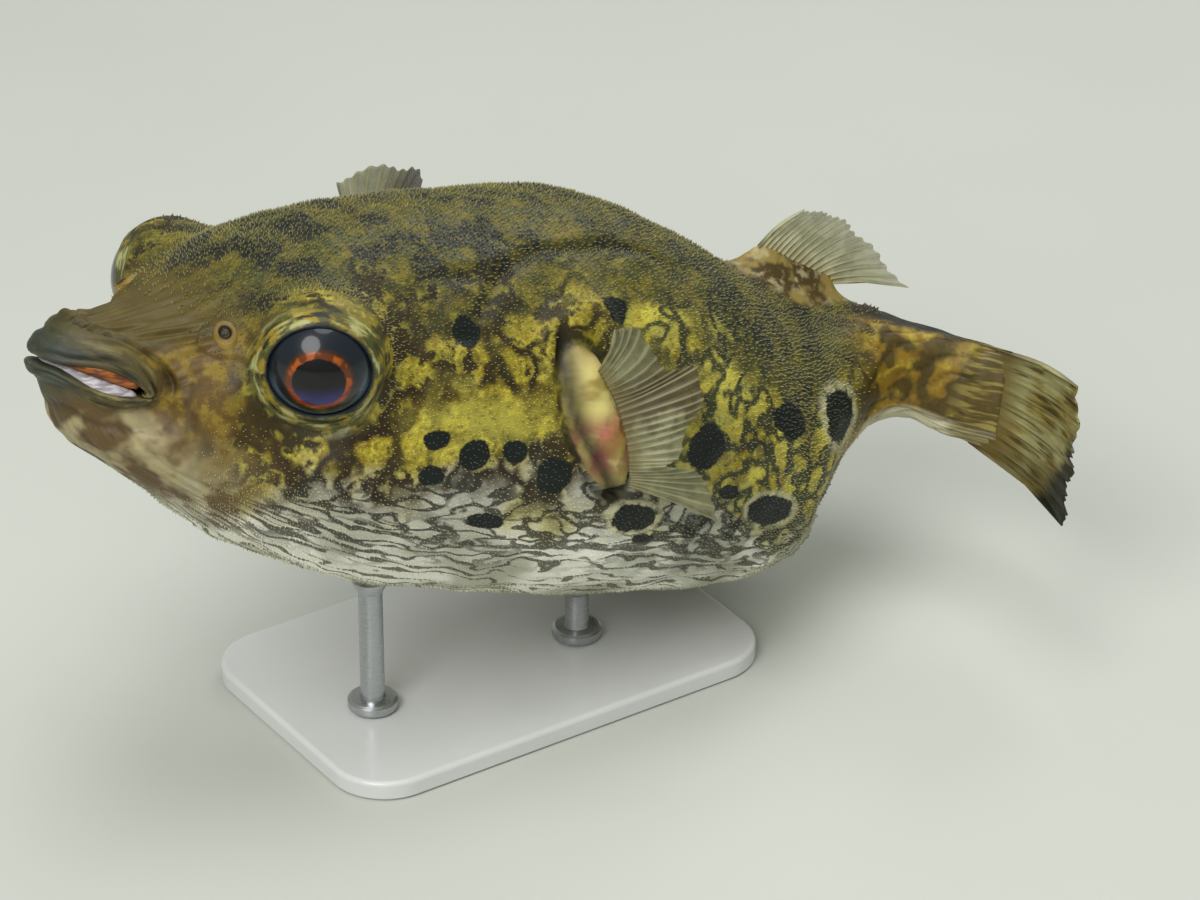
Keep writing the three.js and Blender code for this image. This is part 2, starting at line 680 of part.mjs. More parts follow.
// a fin foot with its seam's width added all round
function grown(foot) {
  return {
    ...foot,
    halfFoot: foot.halfFoot + SEAM,
    halfTop: foot.halfTop + SEAM,
    thickFoot: foot.thickFoot + SEAM,
    thickTop: foot.thickTop + SEAM,
    foot: [foot.foot[0], foot.foot[1] - Math.sign(foot.foot[1]) * SEAM, foot.foot[2]],
    top: [foot.top[0], foot.top[1] + Math.sign(foot.top[1]) * SEAM, foot.top[2]],
  };
}

add('head', buildHead(), 0x8a7a2a, 0.45);
add('trunk', buildTrunk(), 0x6f6a2c, 0.55);
add('tail_stem', buildTailStem(), 0xa8862a, 0.5);
add('lip_upper', upperLip(0), 0x5c5f33, 0.4);
add('lip_lower', lowerLip(0), 0x6d6c43, 0.4);
add('beak_upper', beak(1, 0), 0x9a5a22, 0.35);
add('beak_lower', beak(-1, 0), 0xd8d0cc, 0.3);
for (const { name, sign } of SIDES) {
  add(`eye_${name}`, eyeball(sign), 0x1b1c3a, 0.1);
  add(`nostril_${name}`, nostril(sign), 0x9c8f4a, 0.45);
  add(`pectoral_foot_${name}`, pectoralFoot(sign), 0xc9b05a, 0.5);
}
add('pectoral_fin_left', pectoralFin(-1, LEFT_RAYS), 0x9aa088, 0.4);
add('pectoral_fin_right', pectoralFin(1, RIGHT_RAYS), 0x9aa088, 0.4);
add('dorsal_foot', finFoot(DORSAL_FOOT), 0xa08a52, 0.5);
add('dorsal_fin', medianFin(DORSAL.stand, DORSAL.roots, DORSAL.tips, DORSAL.lean), 0xb8bb8c, 0.4);
add('anal_foot', finFoot(ANAL_FOOT), 0xc8bf8e, 0.5);
add('anal_fin', medianFin(ANAL.stand, ANAL.roots, ANAL.tips, ANAL.lean), 0xb8bb8c, 0.4);
add('tail_fin', tailFin(), 0x8c8448, 0.4);
add('stand_base', standBase(), 0xe9e8e2, 0.5);
add('stand_rod_front', standRod(ROD.front), 0xb9bcc0, 0.3, 1);
add('stand_rod_rear', standRod(ROD.rear), 0xb9bcc0, 0.3, 1);

export default pufferfish;
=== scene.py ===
"""Freshwater humpback pufferfish, life size, on a plain display stand: the looks of every surface.

The file is laid out as an add-on and is run as a script. Lengths inside the shape functions are in
millimetres and become metres when a mesh is made. The fish's own axes are: station (mm from the lips
towards the tail), side (to the fish's right) and height (over the body's axis).
"""

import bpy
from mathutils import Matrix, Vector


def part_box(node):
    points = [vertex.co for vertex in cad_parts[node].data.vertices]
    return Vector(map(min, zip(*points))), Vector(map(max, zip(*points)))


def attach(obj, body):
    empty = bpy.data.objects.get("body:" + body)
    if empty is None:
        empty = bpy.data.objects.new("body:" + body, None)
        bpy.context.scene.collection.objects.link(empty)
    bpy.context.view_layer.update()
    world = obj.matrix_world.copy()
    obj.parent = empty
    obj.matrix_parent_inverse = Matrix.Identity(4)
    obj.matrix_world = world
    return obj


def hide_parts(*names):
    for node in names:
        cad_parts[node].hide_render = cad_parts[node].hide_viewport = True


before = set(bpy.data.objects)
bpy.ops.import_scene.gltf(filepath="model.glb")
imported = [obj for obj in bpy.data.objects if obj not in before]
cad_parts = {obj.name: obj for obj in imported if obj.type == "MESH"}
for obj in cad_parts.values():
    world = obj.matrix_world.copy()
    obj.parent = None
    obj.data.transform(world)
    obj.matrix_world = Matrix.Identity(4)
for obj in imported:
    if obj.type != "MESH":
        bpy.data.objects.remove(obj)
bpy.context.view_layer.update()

import math

import bpy
import numpy as np
from bpy.props import FloatProperty, FloatVectorProperty, PointerProperty
from mathutils import Matrix

bl_info = {
    "name": "Humpback Pufferfish",
    "version": (1, 0, 0),
    "blender": (4, 5, 0),
    "location": "3D View > Sidebar > Pufferfish",
    "description": "Builds the skin, prickles, eyes, beak, fins and stand of a life-size pufferfish",
    "category": "Add Mesh",
}

MM = 0.001

# ---- the body's form ---------------------------------------------------------------------

# station, height of the back, height of the belly, half width
OUTLINE = np.array([
    [0, 5.2, -1.4, 3.4], [3, 7.8, -3.8, 5.9], [8, 9.2, -6.9, 9.1], [15, 11.8, -11.2, 13.8],
    [24, 17.8, -16.5, 18.9], [36, 20.9, -20.6, 21.6], [50, 22.3, -22.9, 23.1], [66, 22.9, -24.1, 23.8],
    [82, 18.6, -24.5, 22.8], [94, 13.1, -23.6, 21.2], [102, 10.1, -21.0, 19.0], [110, 9.6, -9.2, 12.4],
    [118, 8.6, -3.2, 5.8], [127, 8.0, -5.0, 2.2], [152, 8.0, -5.0, 2.2],
])
TOP, BOTTOM, HALF = 1, 2, 3
WIDEST = 0.4  # height of the widest line, as a share of the way from belly to back
BACK_ROUNDNESS = 2.15
BELLY_ROUNDNESS = 2.5
NOSE_UP = math.radians(15.5)
ROLL = math.radians(-8)
SNOUT = np.array([-58.0, 0.0, 55.2])
TAIL_BENDS = ((86, 110, 25), (106, 127, 36), (122, 146, 52))  # from station, to station, degrees
BODY_END = 127.0
STEP = 0.5

EYE = {"at": 25.4, "height": 8.6, "side": 16.1, "radius": 6.5, "yaw": 33, "dip": 19}
LID_END = 66  # degrees from the gaze to the hidden edge of an eye
PUPIL_UP = 0.1  # height of the pupil's middle over the gaze line
TURRET = (7.7, 7.0, 6.9)  # level, upright and outward half sizes of the swelling round an eye

MOUTH = {"height": 4.3, "fall": 2.1, "reach": 8.6, "bow": 0.128, "front": 1.7}
PECTORAL = {"at": 59.4, "around": 77, "long": 8.8, "wide": 3.7, "thick": 3.2, "sunk": 0.9, "lean": 24}
NOSTRIL = {"at": 16.7, "around": 42, "size": 1.55, "mound": (2.4, 2.2, 0.5)}
# a nostril's section from its foot over the rim to the bottom of its opening: share of its size, height
NOSTRIL_SECTION = np.array([
    [1.05, -0.7], [0.99, 0.05], [0.92, 0.4], [0.86, 0.68], [0.76, 0.86], [0.64, 0.90], [0.53, 0.82],
    [0.45, 0.66], [0.38, 0.50], [0.26, 0.40], [0.10, 0.37],
])

# black spots of a flank: station, angle round from the back, half length, half girth, pale ring
SPOTS = (
    (43.0, 54, 1.9, 1.9, 0), (38.4, 82, 1.7, 1.2, 0), (38.4, 90, 1.6, 1.2, 0), (43.5, 85, 2.1, 1.7, 0),
    (48.7, 84, 1.5, 1.4, 0), (54.4, 89, 2.5, 2.1, 0), (46.0, 102, 2.5, 1.0, 0), (66.2, 100, 3.3, 1.7, 1),
    (68.6, 108, 1.5, 0.7, 0), (75.7, 82, 2.8, 2.7, 0), (90.8, 70, 3.4, 2.2, 0), (106.7, 76, 3.0, 3.4, 1),
    (87.9, 95, 3.7, 1.9, 1), (80.2, 91, 2.0, 0.9, 0), (62.7, 50, 2.3, 1.7, 0),
)
GILL_FLAP = {"at": (57.6, 55), "half": (3.2, 5.0, 1.5)}  # station and angle, half sizes
# creases as lines of (station, angle): the gill slit, and the fold over the shoulder
GILL_SLIT = ((54.6, 52), (55.0, 62), (55.9, 74), (58.6, 84), (62.6, 92), (65.6, 95))
SHOULDER_FOLD = ((43.0, 55), (46.5, 46), (51.7, 34), (58.8, 29), (67.3, 29), (78.9, 34))

# The rays of a pectoral fin from top to bottom, in its foot's own axes:
# root: how far down the foot; tip: how far down, back and outwards
LEFT_RAYS = np.array([
    [-6.0, -11.4, 1.4, 6.4], [-5.0, -10.8, 3.8, 6.6], [-3.8, -6.8, 5.6, 6.8], [-2.6, -3.8, 7.2, 6.9],
    [-1.4, -2.9, 10.2, 7.0], [0.2, 0.0, 9.7, 7.0], [2.0, 1.9, 8.5, 7.0], [3.8, 3.7, 6.6, 6.8],
    [5.2, 6.1, 4.7, 6.5], [6.2, 6.4, 3.2, 5.6], [7.0, 8.6, 6.4, 6.1], [7.6, 11.7, 8.0, 5.8],
    [8.2, 15.4, 7.7, 5.6],
])
RIGHT_RAYS = np.array([
    [-6.0, -13.2, 2.4, 8.5], [-5.0, -14.2, 5.2, 7.6], [-3.8, -14.5, 8.2, 6.3], [-2.6, -13.6, 10.6, 5.6],
    [-1.4, -10.4, 12.4, 5.8], [0.2, -6.2, 13.0, 6.4], [2.0, -1.8, 13.0, 7.0], [3.8, 2.4, 12.4, 7.2],
    [5.2, 6.0, 11.4, 7.2], [6.2, 9.2, 10.2, 7.0], [7.0, 11.8, 9.0, 6.6], [7.6, 13.8, 7.8, 6.2],
    [8.2, 15.2, 6.4, 5.8],
])
# a median fin: where it stands, its rays' roots and tips as (station, height), and its sideways lean;
# its muscular foot: lowest and highest oval as (station, height, tilt), half lengths, half thicknesses
DORSAL = {
    "stand": 100.0, "lean": -1.0, "rays": 15,
    "roots": ((97.2, 16.9), (100.4, 16.0), (103.6, 14.3), (106.8, 12.8)),
    "tips": ((102.0, 20.8), (105.8, 20.4), (110.2, 17.8), (117.0, 12.0)),
    "foot": (100.8, 7.6, -1.6), "top": (102.2, 14.4, -2.2), "half": (7.4, 5.2), "thick": (5.2, 0.9),
}
ANAL = {
    "stand": 105.0, "lean": 0.8, "rays": 11,
    "roots": ((101.0, -22.2), (103.4, -21.2), (105.8, -19.4), (107.6, -17.0)),
    "tips": ((103.6, -24.6), (107.0, -23.4), (109.4, -20.8), (110.4, -17.4)),
    "foot": (102.0, -14.0, 2.6), "top": (104.2, -18.6, 2.8), "half": (4.8, 3.6), "thick": (3.6, 0.9),
}

# the tail fin: rays, their length, heights of its root's ends, degrees that its last ray slopes down
TAIL_FIN = {"rays": 9, "length": 22.2, "top": 7.6, "bottom": -4.6, "slope": 15}
PECTORAL_RAYS = 27

# ---- small helpers -----------------------------------------------------------------------


def ease(value, start, end):
    """0 before start, 1 after end, and 3t^2 - 2t^3 between."""
    t = np.clip((np.asarray(value, float) - start) / (end - start), 0, 1)
    return t * t * (3 - 2 * t)


def mix(a, b, share):
    return a + (b - a) * share


def unit(vectors):
    return vectors / np.maximum(np.linalg.norm(vectors, axis=-1, keepdims=True), 1e-12)


def bell(distance, width):
    """A smooth bump: exp(-(distance / width)^2)."""
    return np.exp(-(distance / width) ** 2)


def slopes(x, y):
    """Slopes of a cubic that never swings past its points: the weighted harmonic mean of the
    neighbours' chords, and 0 at a high or low point."""
    gap = np.diff(x)
    chord = np.diff(y) / gap
    before, after = chord[:-1], chord[1:]
    wide, near = 2 * gap[1:] + gap[:-1], gap[1:] + 2 * gap[:-1]
    turning = before * after <= 0
    safe_before, safe_after = np.where(turning, 1, before), np.where(turning, 1, after)
    inner = np.where(turning, 0, (wide + near) / (wide / safe_before + near / safe_after))
    return np.concatenate([[chord[0]], inner, [chord[-1]]])


def hermite(t, start, leave, end, arrive):
    """The cubic in t from start to end, with its slopes at both ends."""
    return ((2 * t**3 - 3 * t**2 + 1) * start + (t**3 - 2 * t**2 + t) * leave
            + (3 * t**2 - 2 * t**3) * end + (t**3 - t**2) * arrive)


def curve(x, y, at):
    """Value at `at` of the cubic through the points (x, y), with the slopes above."""
    x, y, at = np.asarray(x, float), np.asarray(y, float), np.asarray(at, float)
    i = np.clip(np.searchsorted(x, at, side="left") - 1, 0, len(x) - 2)
    gap, slope = x[i + 1] - x[i], slopes(x, y)
    t = np.clip((at - x[i]) / gap, 0, 1)
    return hermite(t, y[i], slope[i] * gap, y[i + 1], slope[i + 1] * gap)


def ripple(points, wavelength, seed):
    """Smooth noise of about -1 to 1: the sum of sine waves in random directions."""
    rng, waves = np.random.default_rng(seed), 14
    way = unit(rng.normal(size=(waves, 3))) * (2 * np.pi / wavelength)
    way = way * rng.uniform(0.7, 1.4, (waves, 1))
    phase = rng.uniform(0, 2 * np.pi, waves)
    return np.sin(points @ way.T + phase).sum(-1) / math.sqrt(waves)


def smooth_union(a, b, soft):
    """The lesser of two distances, with a fillet of width `soft` where they are alike."""
    near = np.maximum(soft - np.abs(a - b), 0) / soft
    return np.minimum(a, b) - near * near * soft / 4


# ---- the body's own coordinates ----------------------------------------------------------


def outline(column, at):
    return curve(OUTLINE[:, 0], OUTLINE[:, column], at)


def heading(at):
    """How far the axis has turned to the left at a station, in radians."""
    return sum(math.radians(turn) * ease(at, start, end) for start, end, turn in TAIL_BENDS)


def walked_axis():
    """The axis as points STEP apart: each step goes along the heading at its middle."""
    middle = heading((np.arange(int(OUTLINE[-1, 0] / STEP)) + 0.5) * STEP)
    steps = np.stack([np.cos(middle), -np.sin(middle)], 1) * STEP
    return np.concatenate([np.zeros((1, 2)), np.cumsum(steps, 0)])


AXIS = walked_axis()


def axis_at(at):
    places = np.arange(len(AXIS)) * STEP
    ahead = np.maximum(at, 0)
    x = np.interp(ahead, places, AXIS[:, 0]) + np.minimum(at, 0)
    return np.stack([x, np.interp(ahead, places, AXIS[:, 1]), np.zeros_like(x)], -1)


def turning():
    """The turn from the fish's axes to the stand's: roll about X, then the raised nose about Y."""
    c, s = math.cos(ROLL), math.sin(ROLL)
    roll = np.array([[1, 0, 0], [0, c, -s], [0, s, c]])
    c, s = math.cos(NOSE_UP), math.sin(NOSE_UP)
    return np.array([[c, 0, s], [0, 1, 0], [-s, 0, c]]) @ roll


TURN = turning()


def to_stand(points):
    return points @ TURN.T + SNOUT


def fish_point(at, side, height):
    """A point in the fish's own axes, on the bent body: axis + side * right + height * up."""
    at, side, height = np.broadcast_arrays(*[np.asarray(v, float) for v in (at, side, height)])
    turn = heading(at)
    point = axis_at(at) + side[..., None] * np.stack([np.sin(turn), np.cos(turn), 0 * turn], -1)
    point[..., 2] += height
    return point


def body_skin(at, around):
    """The body's surface: superellipse sections, angle 0 at the back and 90 degrees at the left."""
    at, around = np.broadcast_arrays(np.asarray(at, float), np.asarray(around, float))
    top, bottom, half = (outline(c, at) for c in (TOP, BOTTOM, HALF))
    middle = mix(bottom, top, WIDEST)
    upper = np.cos(around) > 0
    power = np.where(upper, 2 / BACK_ROUNDNESS, 2 / BELLY_ROUNDNESS)
    side = -half * np.sign(np.sin(around)) * np.abs(np.sin(around)) ** power
    reach = np.where(upper, top - middle, middle - bottom)
    height = middle + reach * np.sign(np.cos(around)) * np.abs(np.cos(around)) ** power
    return fish_point(at, side, height)


def body_normal(at, around):
    """Outward direction of the body's surface, from two short steps along it."""
    here = body_skin(at, around)
    return unit(np.cross(body_skin(at, around + 0.005) - here, body_skin(at + 0.05, around) - here))


def flank(at, degrees, sign):
    """A place on the body, some degrees round from the back on the side of the sign, with the
    directions there outwards and towards the tail."""
    around = -sign * math.radians(degrees)
    rear = unit(body_skin(at + 1, around) - body_skin(at - 1, around))
    return body_skin(at, around), body_normal(at, around), rear


def gaze(sign):
    """Which way an eye looks, in the fish's axes: outwards, towards the snout and down."""
    yaw, dip = math.radians(EYE["yaw"]), math.radians(EYE["dip"])
    return np.array([-math.sin(yaw) * math.cos(dip), sign * math.cos(yaw) * math.cos(dip), -math.sin(dip)])


def eye_axes(sign):
    """Level, upright and outward axes of an eye, in the fish's axes."""
    out = TURN @ gaze(sign)
    level = unit(np.cross([0, 0, 1], out))
    return np.stack([level, np.cross(out, level), out]) @ TURN


def eye_centre(sign):
    return np.array([EYE["at"], sign * EYE["side"], EYE["height"]])


def foot_axes(sign):
    """Centre of a pectoral fin's foot on the flank, and its axes: down its length, back, outwards."""
    centre, out, rear = flank(PECTORAL["at"], PECTORAL["around"], sign)
    down = unit(np.cross(rear, out) * -sign)
    lean = math.radians(PECTORAL["lean"])
    long = down * math.cos(lean) + rear * math.sin(lean)
    wide = rear * math.cos(lean) - down * math.sin(lean)
    return centre, long, wide, out


def ellipsoid_distance(points, centre, axes, sizes):
    """About how far points are outside an ellipsoid: k (k - 1) / |grad|, with k = |p / sizes|."""
    local = (points - centre) @ np.asarray(axes).T
    near = np.linalg.norm(local / sizes, axis=-1)
    slope = np.linalg.norm(local / np.square(sizes), axis=-1)
    return near * (near - 1) / np.maximum(slope, 1e-9)


def fin_foot_distance(points, fin):
    """About how far points are outside a median fin's foot: ovals stacked from its foot to its top,
    each tilted along the body, their half lengths and thicknesses going from the first to the last."""
    turn = float(heading(fin["stand"]))
    local = points - axis_at(np.array(fin["stand"]))
    along = local @ np.array([math.cos(turn), -math.sin(turn), 0]) + fin["stand"]
    side = local @ np.array([math.sin(turn), math.cos(turn), 0])
    foot, top = fin["foot"], fin["top"]
    slope = mix(foot[2] / fin["half"][0], top[2] / fin["half"][1], 0.6)
    rise = (local[..., 2] - foot[1] - slope * (along - mix(foot[0], top[0], 0.6))) / (top[1] - foot[1])
    t = np.clip(rise, 0, 1)
    swell = 1 + 0.12 * np.sin(np.pi * t)
    long = mix(fin["half"][0], fin["half"][1], t) * swell
    thick = mix(fin["thick"][0], fin["thick"][1], ease(t, 0, 1)) * swell
    near = np.hypot((along - mix(foot[0], top[0], t)) / long, side / thick)
    tall = abs(top[1] - foot[1])
    return np.max([(near - 1) * thick, (rise - 1) * tall, -rise * tall - 3], axis=0)


# ---- the skin ----------------------------------------------------------------------------

COLUMNS = 360
MOUTH_ROWS, FACE_ROWS, BODY_ROWS = 28, 44, 200
FACE_END = 15.0  # station where the face's rows meet the body's
SKIN_END = 131.0  # the skin runs on round the root of the tail fin
LIP_UP = (0, .8, .45, .3, .4, .9, 1.6, 2.4, 3.1, 3.7)
LIP_OUT = (-4.2, -3.6, -2.4, -1.2, -.5, .1, .3, .15, -.3, -.4)
COAT_DEPTH = 0.3  # the skin lies this far inside the solids, under its prickles
LID_RIM = 5.6  # distance from an eye's gaze line to the rim of its lids
THIN_END = 0.35  # share of its thickness that the skin keeps at its end
# grooves across a lip: place from inside (0) to its outer edge (1), depth, width
LIP_GROOVES = ((0.62, 0.34, 0.055), (0.80, 0.26, 0.05), (0.93, 0.16, 0.04), (1.22, 0.30, 0.06))
# where the flank's colours end, as stations and the angles round from the back there
BACK_LIMIT = ((0, 20, 40, 60, 80, 95, 105, 115, 127, 140), (28, 34, 40, 36, 48, 66, 55, 30, 15, 10))
BELLY_LIMIT = ((0, 8, 17, 27, 41, 61, 76, 90, 105, 115, 127, 140),
               (150, 140, 124, 109, 101, 97, 101, 106, 110, 120, 130, 135))


def column_angle(w):
    """The body's angle at which a column runs: the mouth's corners flow out at 70 degrees."""
    return w - 0.35 * np.sin(w) * np.abs(np.sin(w))


def mouth_line(w):
    """The closed mouth's bowed line: a point at y = -reach sin w and x = bow y^2 - front, which falls
    by fall |sin w|^2.5 to the corners, with the directions along it (to the left) and out of it."""
    y = -MOUTH["reach"] * np.sin(w)
    height = MOUTH["height"] - MOUTH["fall"] * np.abs(np.sin(w)) ** 2.5
    point = np.stack([MOUTH["bow"] * y * y - MOUTH["front"], y, height], -1)
    along = unit(np.stack([-2 * MOUTH["bow"] * y, 0 * y - 1, 0 * y], -1))
    out = np.stack([along[..., 1], -along[..., 0], 0 * y], -1)
    return point, along, out


def gape(w):
    """Half the opening between the lips: least in the middle, widest near the corners."""
    c = np.abs(np.sin(w))
    return (0.02 + 1.20 * ease(c, 0.34, 0.85)) * np.sqrt(np.maximum(1 - c**14, 0))


def lips(w, row):
    """The lips: a rolled section carried round the mouth. It starts inside, comes forward, rolls out
    and ends in the groove behind the lip. Returns points and the direction in which each one leaves."""
    point, along, out = mouth_line(w)
    c, s = np.cos(w)[..., None], np.sin(w)[..., None]
    up = np.array([0.55, 0, 0]) * np.sign(c) + np.array([0, 0, 1.0])
    away = unit(up * c + np.sign(s) * along * np.abs(s) ** 6)
    places = np.linspace(0, 1, len(LIP_UP))
    narrow = 1 + 0.18 * c[..., 0] ** 3 - 0.42 * np.abs(s[..., 0]) ** 8
    notch = 0.45 * bell(np.sin(w), 0.09) * ease(np.cos(w), 0, 0.5) * bell(row - 0.62, 0.2)
    rise = curve(places, LIP_UP, row) * narrow + gape(w)
    reach = curve(places, LIP_OUT, row) - notch
    return point + rise[..., None] * away + reach[..., None] * out, away


def onto_body(points):
    """Points moved straight towards or away from the axis until they lie on the body's surface."""
    at, side, height = points[..., 0], points[..., 1], points[..., 2]
    top, bottom, half = (outline(c, at) for c in (TOP, BOTTOM, HALF))
    middle = mix(bottom, top, WIDEST)
    upper = height > middle
    power = np.where(upper, BACK_ROUNDNESS, BELLY_ROUNDNESS)
    reach = np.where(upper, top - middle, middle - bottom)
    scale = (np.abs(side / half) ** power + np.abs((height - middle) / reach) ** power) ** (-1 / power)
    return np.stack([at, side * scale, middle + (height - middle) * scale], -1)


def face(w, t):
    """From the lips' groove to the first ring of the body: a cubic path for each column, laid onto
    the body's surface as it leaves the lips."""
    start, leave = lips(w, np.ones_like(w))
    phi = column_angle(w)
    end = body_skin(FACE_END + 0 * w, phi)
    arrive = unit(body_skin(FACE_END + 0.5 + 0 * w, phi) - end)
    span = np.linalg.norm(end - start, axis=-1, keepdims=True)
    t = t[..., None]
    path = hermite(t, start, span * leave, end, span * arrive)
    share = ease(t, 0, 0.45) * ease(path[..., :1], 1.5, 5)
    return mix(path, onto_body(path), share)


def body_stations():
    """Stations of the body's rows: even steps along its slopes, so that the steep end of the belly
    gets as many rows as it is long."""
    at = np.linspace(FACE_END, SKIN_END, 2000)
    steep = np.max([np.abs(np.gradient(outline(c, at), at)) for c in (TOP, BOTTOM, HALF)], axis=0)
    length = np.cumsum(np.sqrt(1 + 0.7 * steep**2) * (1 + 0.25 * bell(at - 26, 9)))
    return np.interp(np.linspace(length[0], length[-1], BODY_ROWS), length, at)


def grid_normals(points):
    """Outward directions on a grid whose columns go round: from the differences of its neighbours."""
    around = np.roll(points, -1, 1) - np.roll(points, 1, 1)
    along = np.gradient(points, axis=0)
    return unit(np.cross(around, along))


def line_distance(points, line):
    """Distance from points to a line drawn on the body through (station, angle) places, and how
    far along it the nearest place is, from 0 to 1."""
    line = np.array(line)
    t = np.linspace(0, 1, 60)
    places = np.linspace(0, 1, len(line))
    at, around = curve(places, line[:, 0], t), np.radians(curve(places, line[:, 1], t))
    drawn = body_skin(at, around)
    gaps = np.stack([np.linalg.norm(points - p, axis=-1) for p in drawn])
    return gaps.min(0), t[gaps.argmin(0)]


def mirrored(line):
    return tuple((at, -around) for at, around in line)


def traced(points, normals, shape, soft, reach, middle=None, spread=0.0):
    """The surface with a solid feature melted on: each point goes out along its normal to where the
    body and the feature, joined with a fillet, end. Near `middle`, the paths fan out from below it."""
    way = normals
    if spread:
        gap = np.linalg.norm(points - middle, axis=-1, keepdims=True)
        way = unit(mix(unit(points - middle), normals, ease(gap, spread * 0.75, spread * 1.5)))
    near = shape(points) < reach
    start, way, square = points[near], way[near], normals[near]
    out = np.full(len(start), 9.0)
    lean = (way * square).sum(-1)
    for _ in range(30):
        here = start + out[:, None] * way
        out = out - 0.85 * smooth_union(out * lean, shape(here), soft)
    out = np.where(np.abs(out) < 9.5, out, 0)
    made = points.copy()
    made[near] = start + np.maximum(out, 0)[:, None] * way
    return made


def about_eye(points, sign):
    """Points in an eye's own axes: distance from the gaze line, angle round it and height along it."""
    local = (points - eye_centre(sign)) @ eye_axes(sign).T
    return np.hypot(local[..., 0], local[..., 1]), np.arctan2(local[..., 1], local[..., 0]), local[..., 2]


def with_lids(points, sign):
    """Skin near an eye: gathered towards the rim of the lids, held below a shallow bowl about the gaze
    so that the eye looks out freely, rolled at the rim and drawn down to the floor of the socket."""
    out, turn, up = about_eye(points, sign)
    held = (1 - ease(np.hypot(out, up), 11.5, 15)) * ease(up, -5, -3)
    off = (out - LID_RIM) / 1.7
    gathered = LID_RIM + 1.7 * np.sign(off) * np.minimum(np.abs(off), 1) ** 1.6
    out = np.where(np.abs(off) < 1, mix(out, gathered, held * ease(up, 0.5, 2.5)), out)
    bowl = 3.45 + 0.42 * np.maximum(out - 7.3, 0) ** 1.25
    up = mix(up, smooth_union(up, bowl, 0.9), held)
    roll = 0.30 * bell(out - 6.15, 0.55) - 0.22 * bell(out - 7.5, 0.45)
    rings = 0.09 * np.sin(out * 5.2 + 1.2 * np.sin(turn * 2 + sign) + 0.6 * np.sin(turn * 5))
    rings = rings * ease(out, 6.6, 7.4) * (1 - ease(out, 8.6, 10.0))
    up = up + (roll + rings) * held * ease(up, 0, 2.5)
    up = mix(up, 1.4, held * (1 - ease(out, LID_RIM - 0.22, LID_RIM + 0.05)))
    local = np.stack([out * np.cos(turn), out * np.sin(turn), up], -1)
    placed = eye_centre(sign) + local @ eye_axes(sign)
    return np.where((held > 0)[..., None], placed, points)


def bare_skin():
    """The smooth skin as a grid: rows run from inside the lips to the root of the tail fin, columns go
    round. Returns its points, with the row, column angle and station of each."""
    w_line = np.linspace(0, 2 * np.pi, COLUMNS, endpoint=False)
    w, t = np.meshgrid(w_line, np.linspace(0, 1, MOUTH_ROWS))
    mouth = lips(w, t)[0]
    w, t = np.meshgrid(w_line, np.linspace(0, 1, FACE_ROWS + 2)[1:-1])
    cheeks = face(w, t)
    stations = body_stations()
    w, at = np.meshgrid(w_line, stations)
    trunk = body_skin(at, column_angle(w))
    # the end is pressed thin, to close on the root of the tail fin
    thin = mix(1.0, THIN_END, ease(stations, BODY_END, SKIN_END))
    axis = axis_at(stations)[:, None, :]
    tail = trunk - axis
    turn = heading(stations)
    right = np.stack([np.sin(turn), np.cos(turn), 0 * turn], -1)[:, None, :]
    sideways = (tail * right).sum(-1, keepdims=True)
    trunk = axis + tail - right * sideways * (1 - thin)[:, None, None]
    base = np.concatenate([mouth, cheeks, trunk])
    rows = np.arange(len(base))[:, None] + np.zeros((1, COLUMNS))
    station = np.where(rows < MOUTH_ROWS + FACE_ROWS, base[..., 0], 0.0)
    station[MOUTH_ROWS + FACE_ROWS:] = stations[:, None]
    return base, rows, np.broadcast_to(w_line, rows.shape), station


def with_swellings(points, normals, base, left):
    """The skin with its solid features melted on: on each side the turret of the eye, the nostril's
    mound, the flap over the gill slit and the wrinkled foot of the pectoral fin, then the dorsal and
    anal fins' feet. Returns how far points are from the middle of a pectoral foot as a share of its
    size, how far down it they are, and how much of them is a median foot."""
    lobe, lobe_low = np.full(left.shape, 9.0), np.zeros(left.shape)
    for sign in (-1, 1):
        eye, axes = eye_centre(sign), eye_axes(sign)
        below = eye - 3.4 * flank(EYE["at"], 62, sign)[1]
        nose, out, _ = flank(NOSTRIL["at"], NOSTRIL["around"], sign)
        level = unit(np.cross([0, 0, 1], out))
        mound = np.stack([level, np.cross(out, level), out])
        centre, long, wide, out = foot_axes(sign)
        foot, seat = np.stack([long, wide, out]), centre - PECTORAL["sunk"] * out
        sizes = (PECTORAL["long"], PECTORAL["wide"], PECTORAL["thick"])
        flap = flank(*GILL_FLAP["at"], sign)[0]

        def wrinkled(p):
            rough = 0.22 * ripple(p, 4.0, 33) + 0.13 * ripple(p, 1.7, 35)
            return ellipsoid_distance(p, seat, foot, sizes) - rough

        for shape, soft, reach, fan in (
            (lambda p: ellipsoid_distance(p, eye, axes, TURRET), 3.4, 9, (below, 12.5)),
            (lambda p: ellipsoid_distance(p, nose, mound, NOSTRIL["mound"]), 1.6, 3, ()),
            (lambda p: ellipsoid_distance(p, flap, foot, GILL_FLAP["half"]), 2.5, 4, ()),
            (wrinkled, 0.7, 3, ()),
        ):
            points = traced(points, normals, shape, soft, reach, *fan)
        local = (base - seat) @ foot.T
        lobe_low = np.where(left == (sign < 0), local[..., 0] / sizes[0], lobe_low)
        other_side = 9 * (np.abs(local[..., 2]) > 7)
        lobe = np.minimum(lobe, np.linalg.norm(local[..., :2] / sizes[:2], axis=-1) + other_side)
    before = points
    for fin in (DORSAL, ANAL):
        points = traced(points, normals, lambda p: fin_foot_distance(p, fin), 2.2, 4)
    return points, lobe, lobe_low, ease(np.linalg.norm(points - before, axis=-1), 0.15, 0.9)


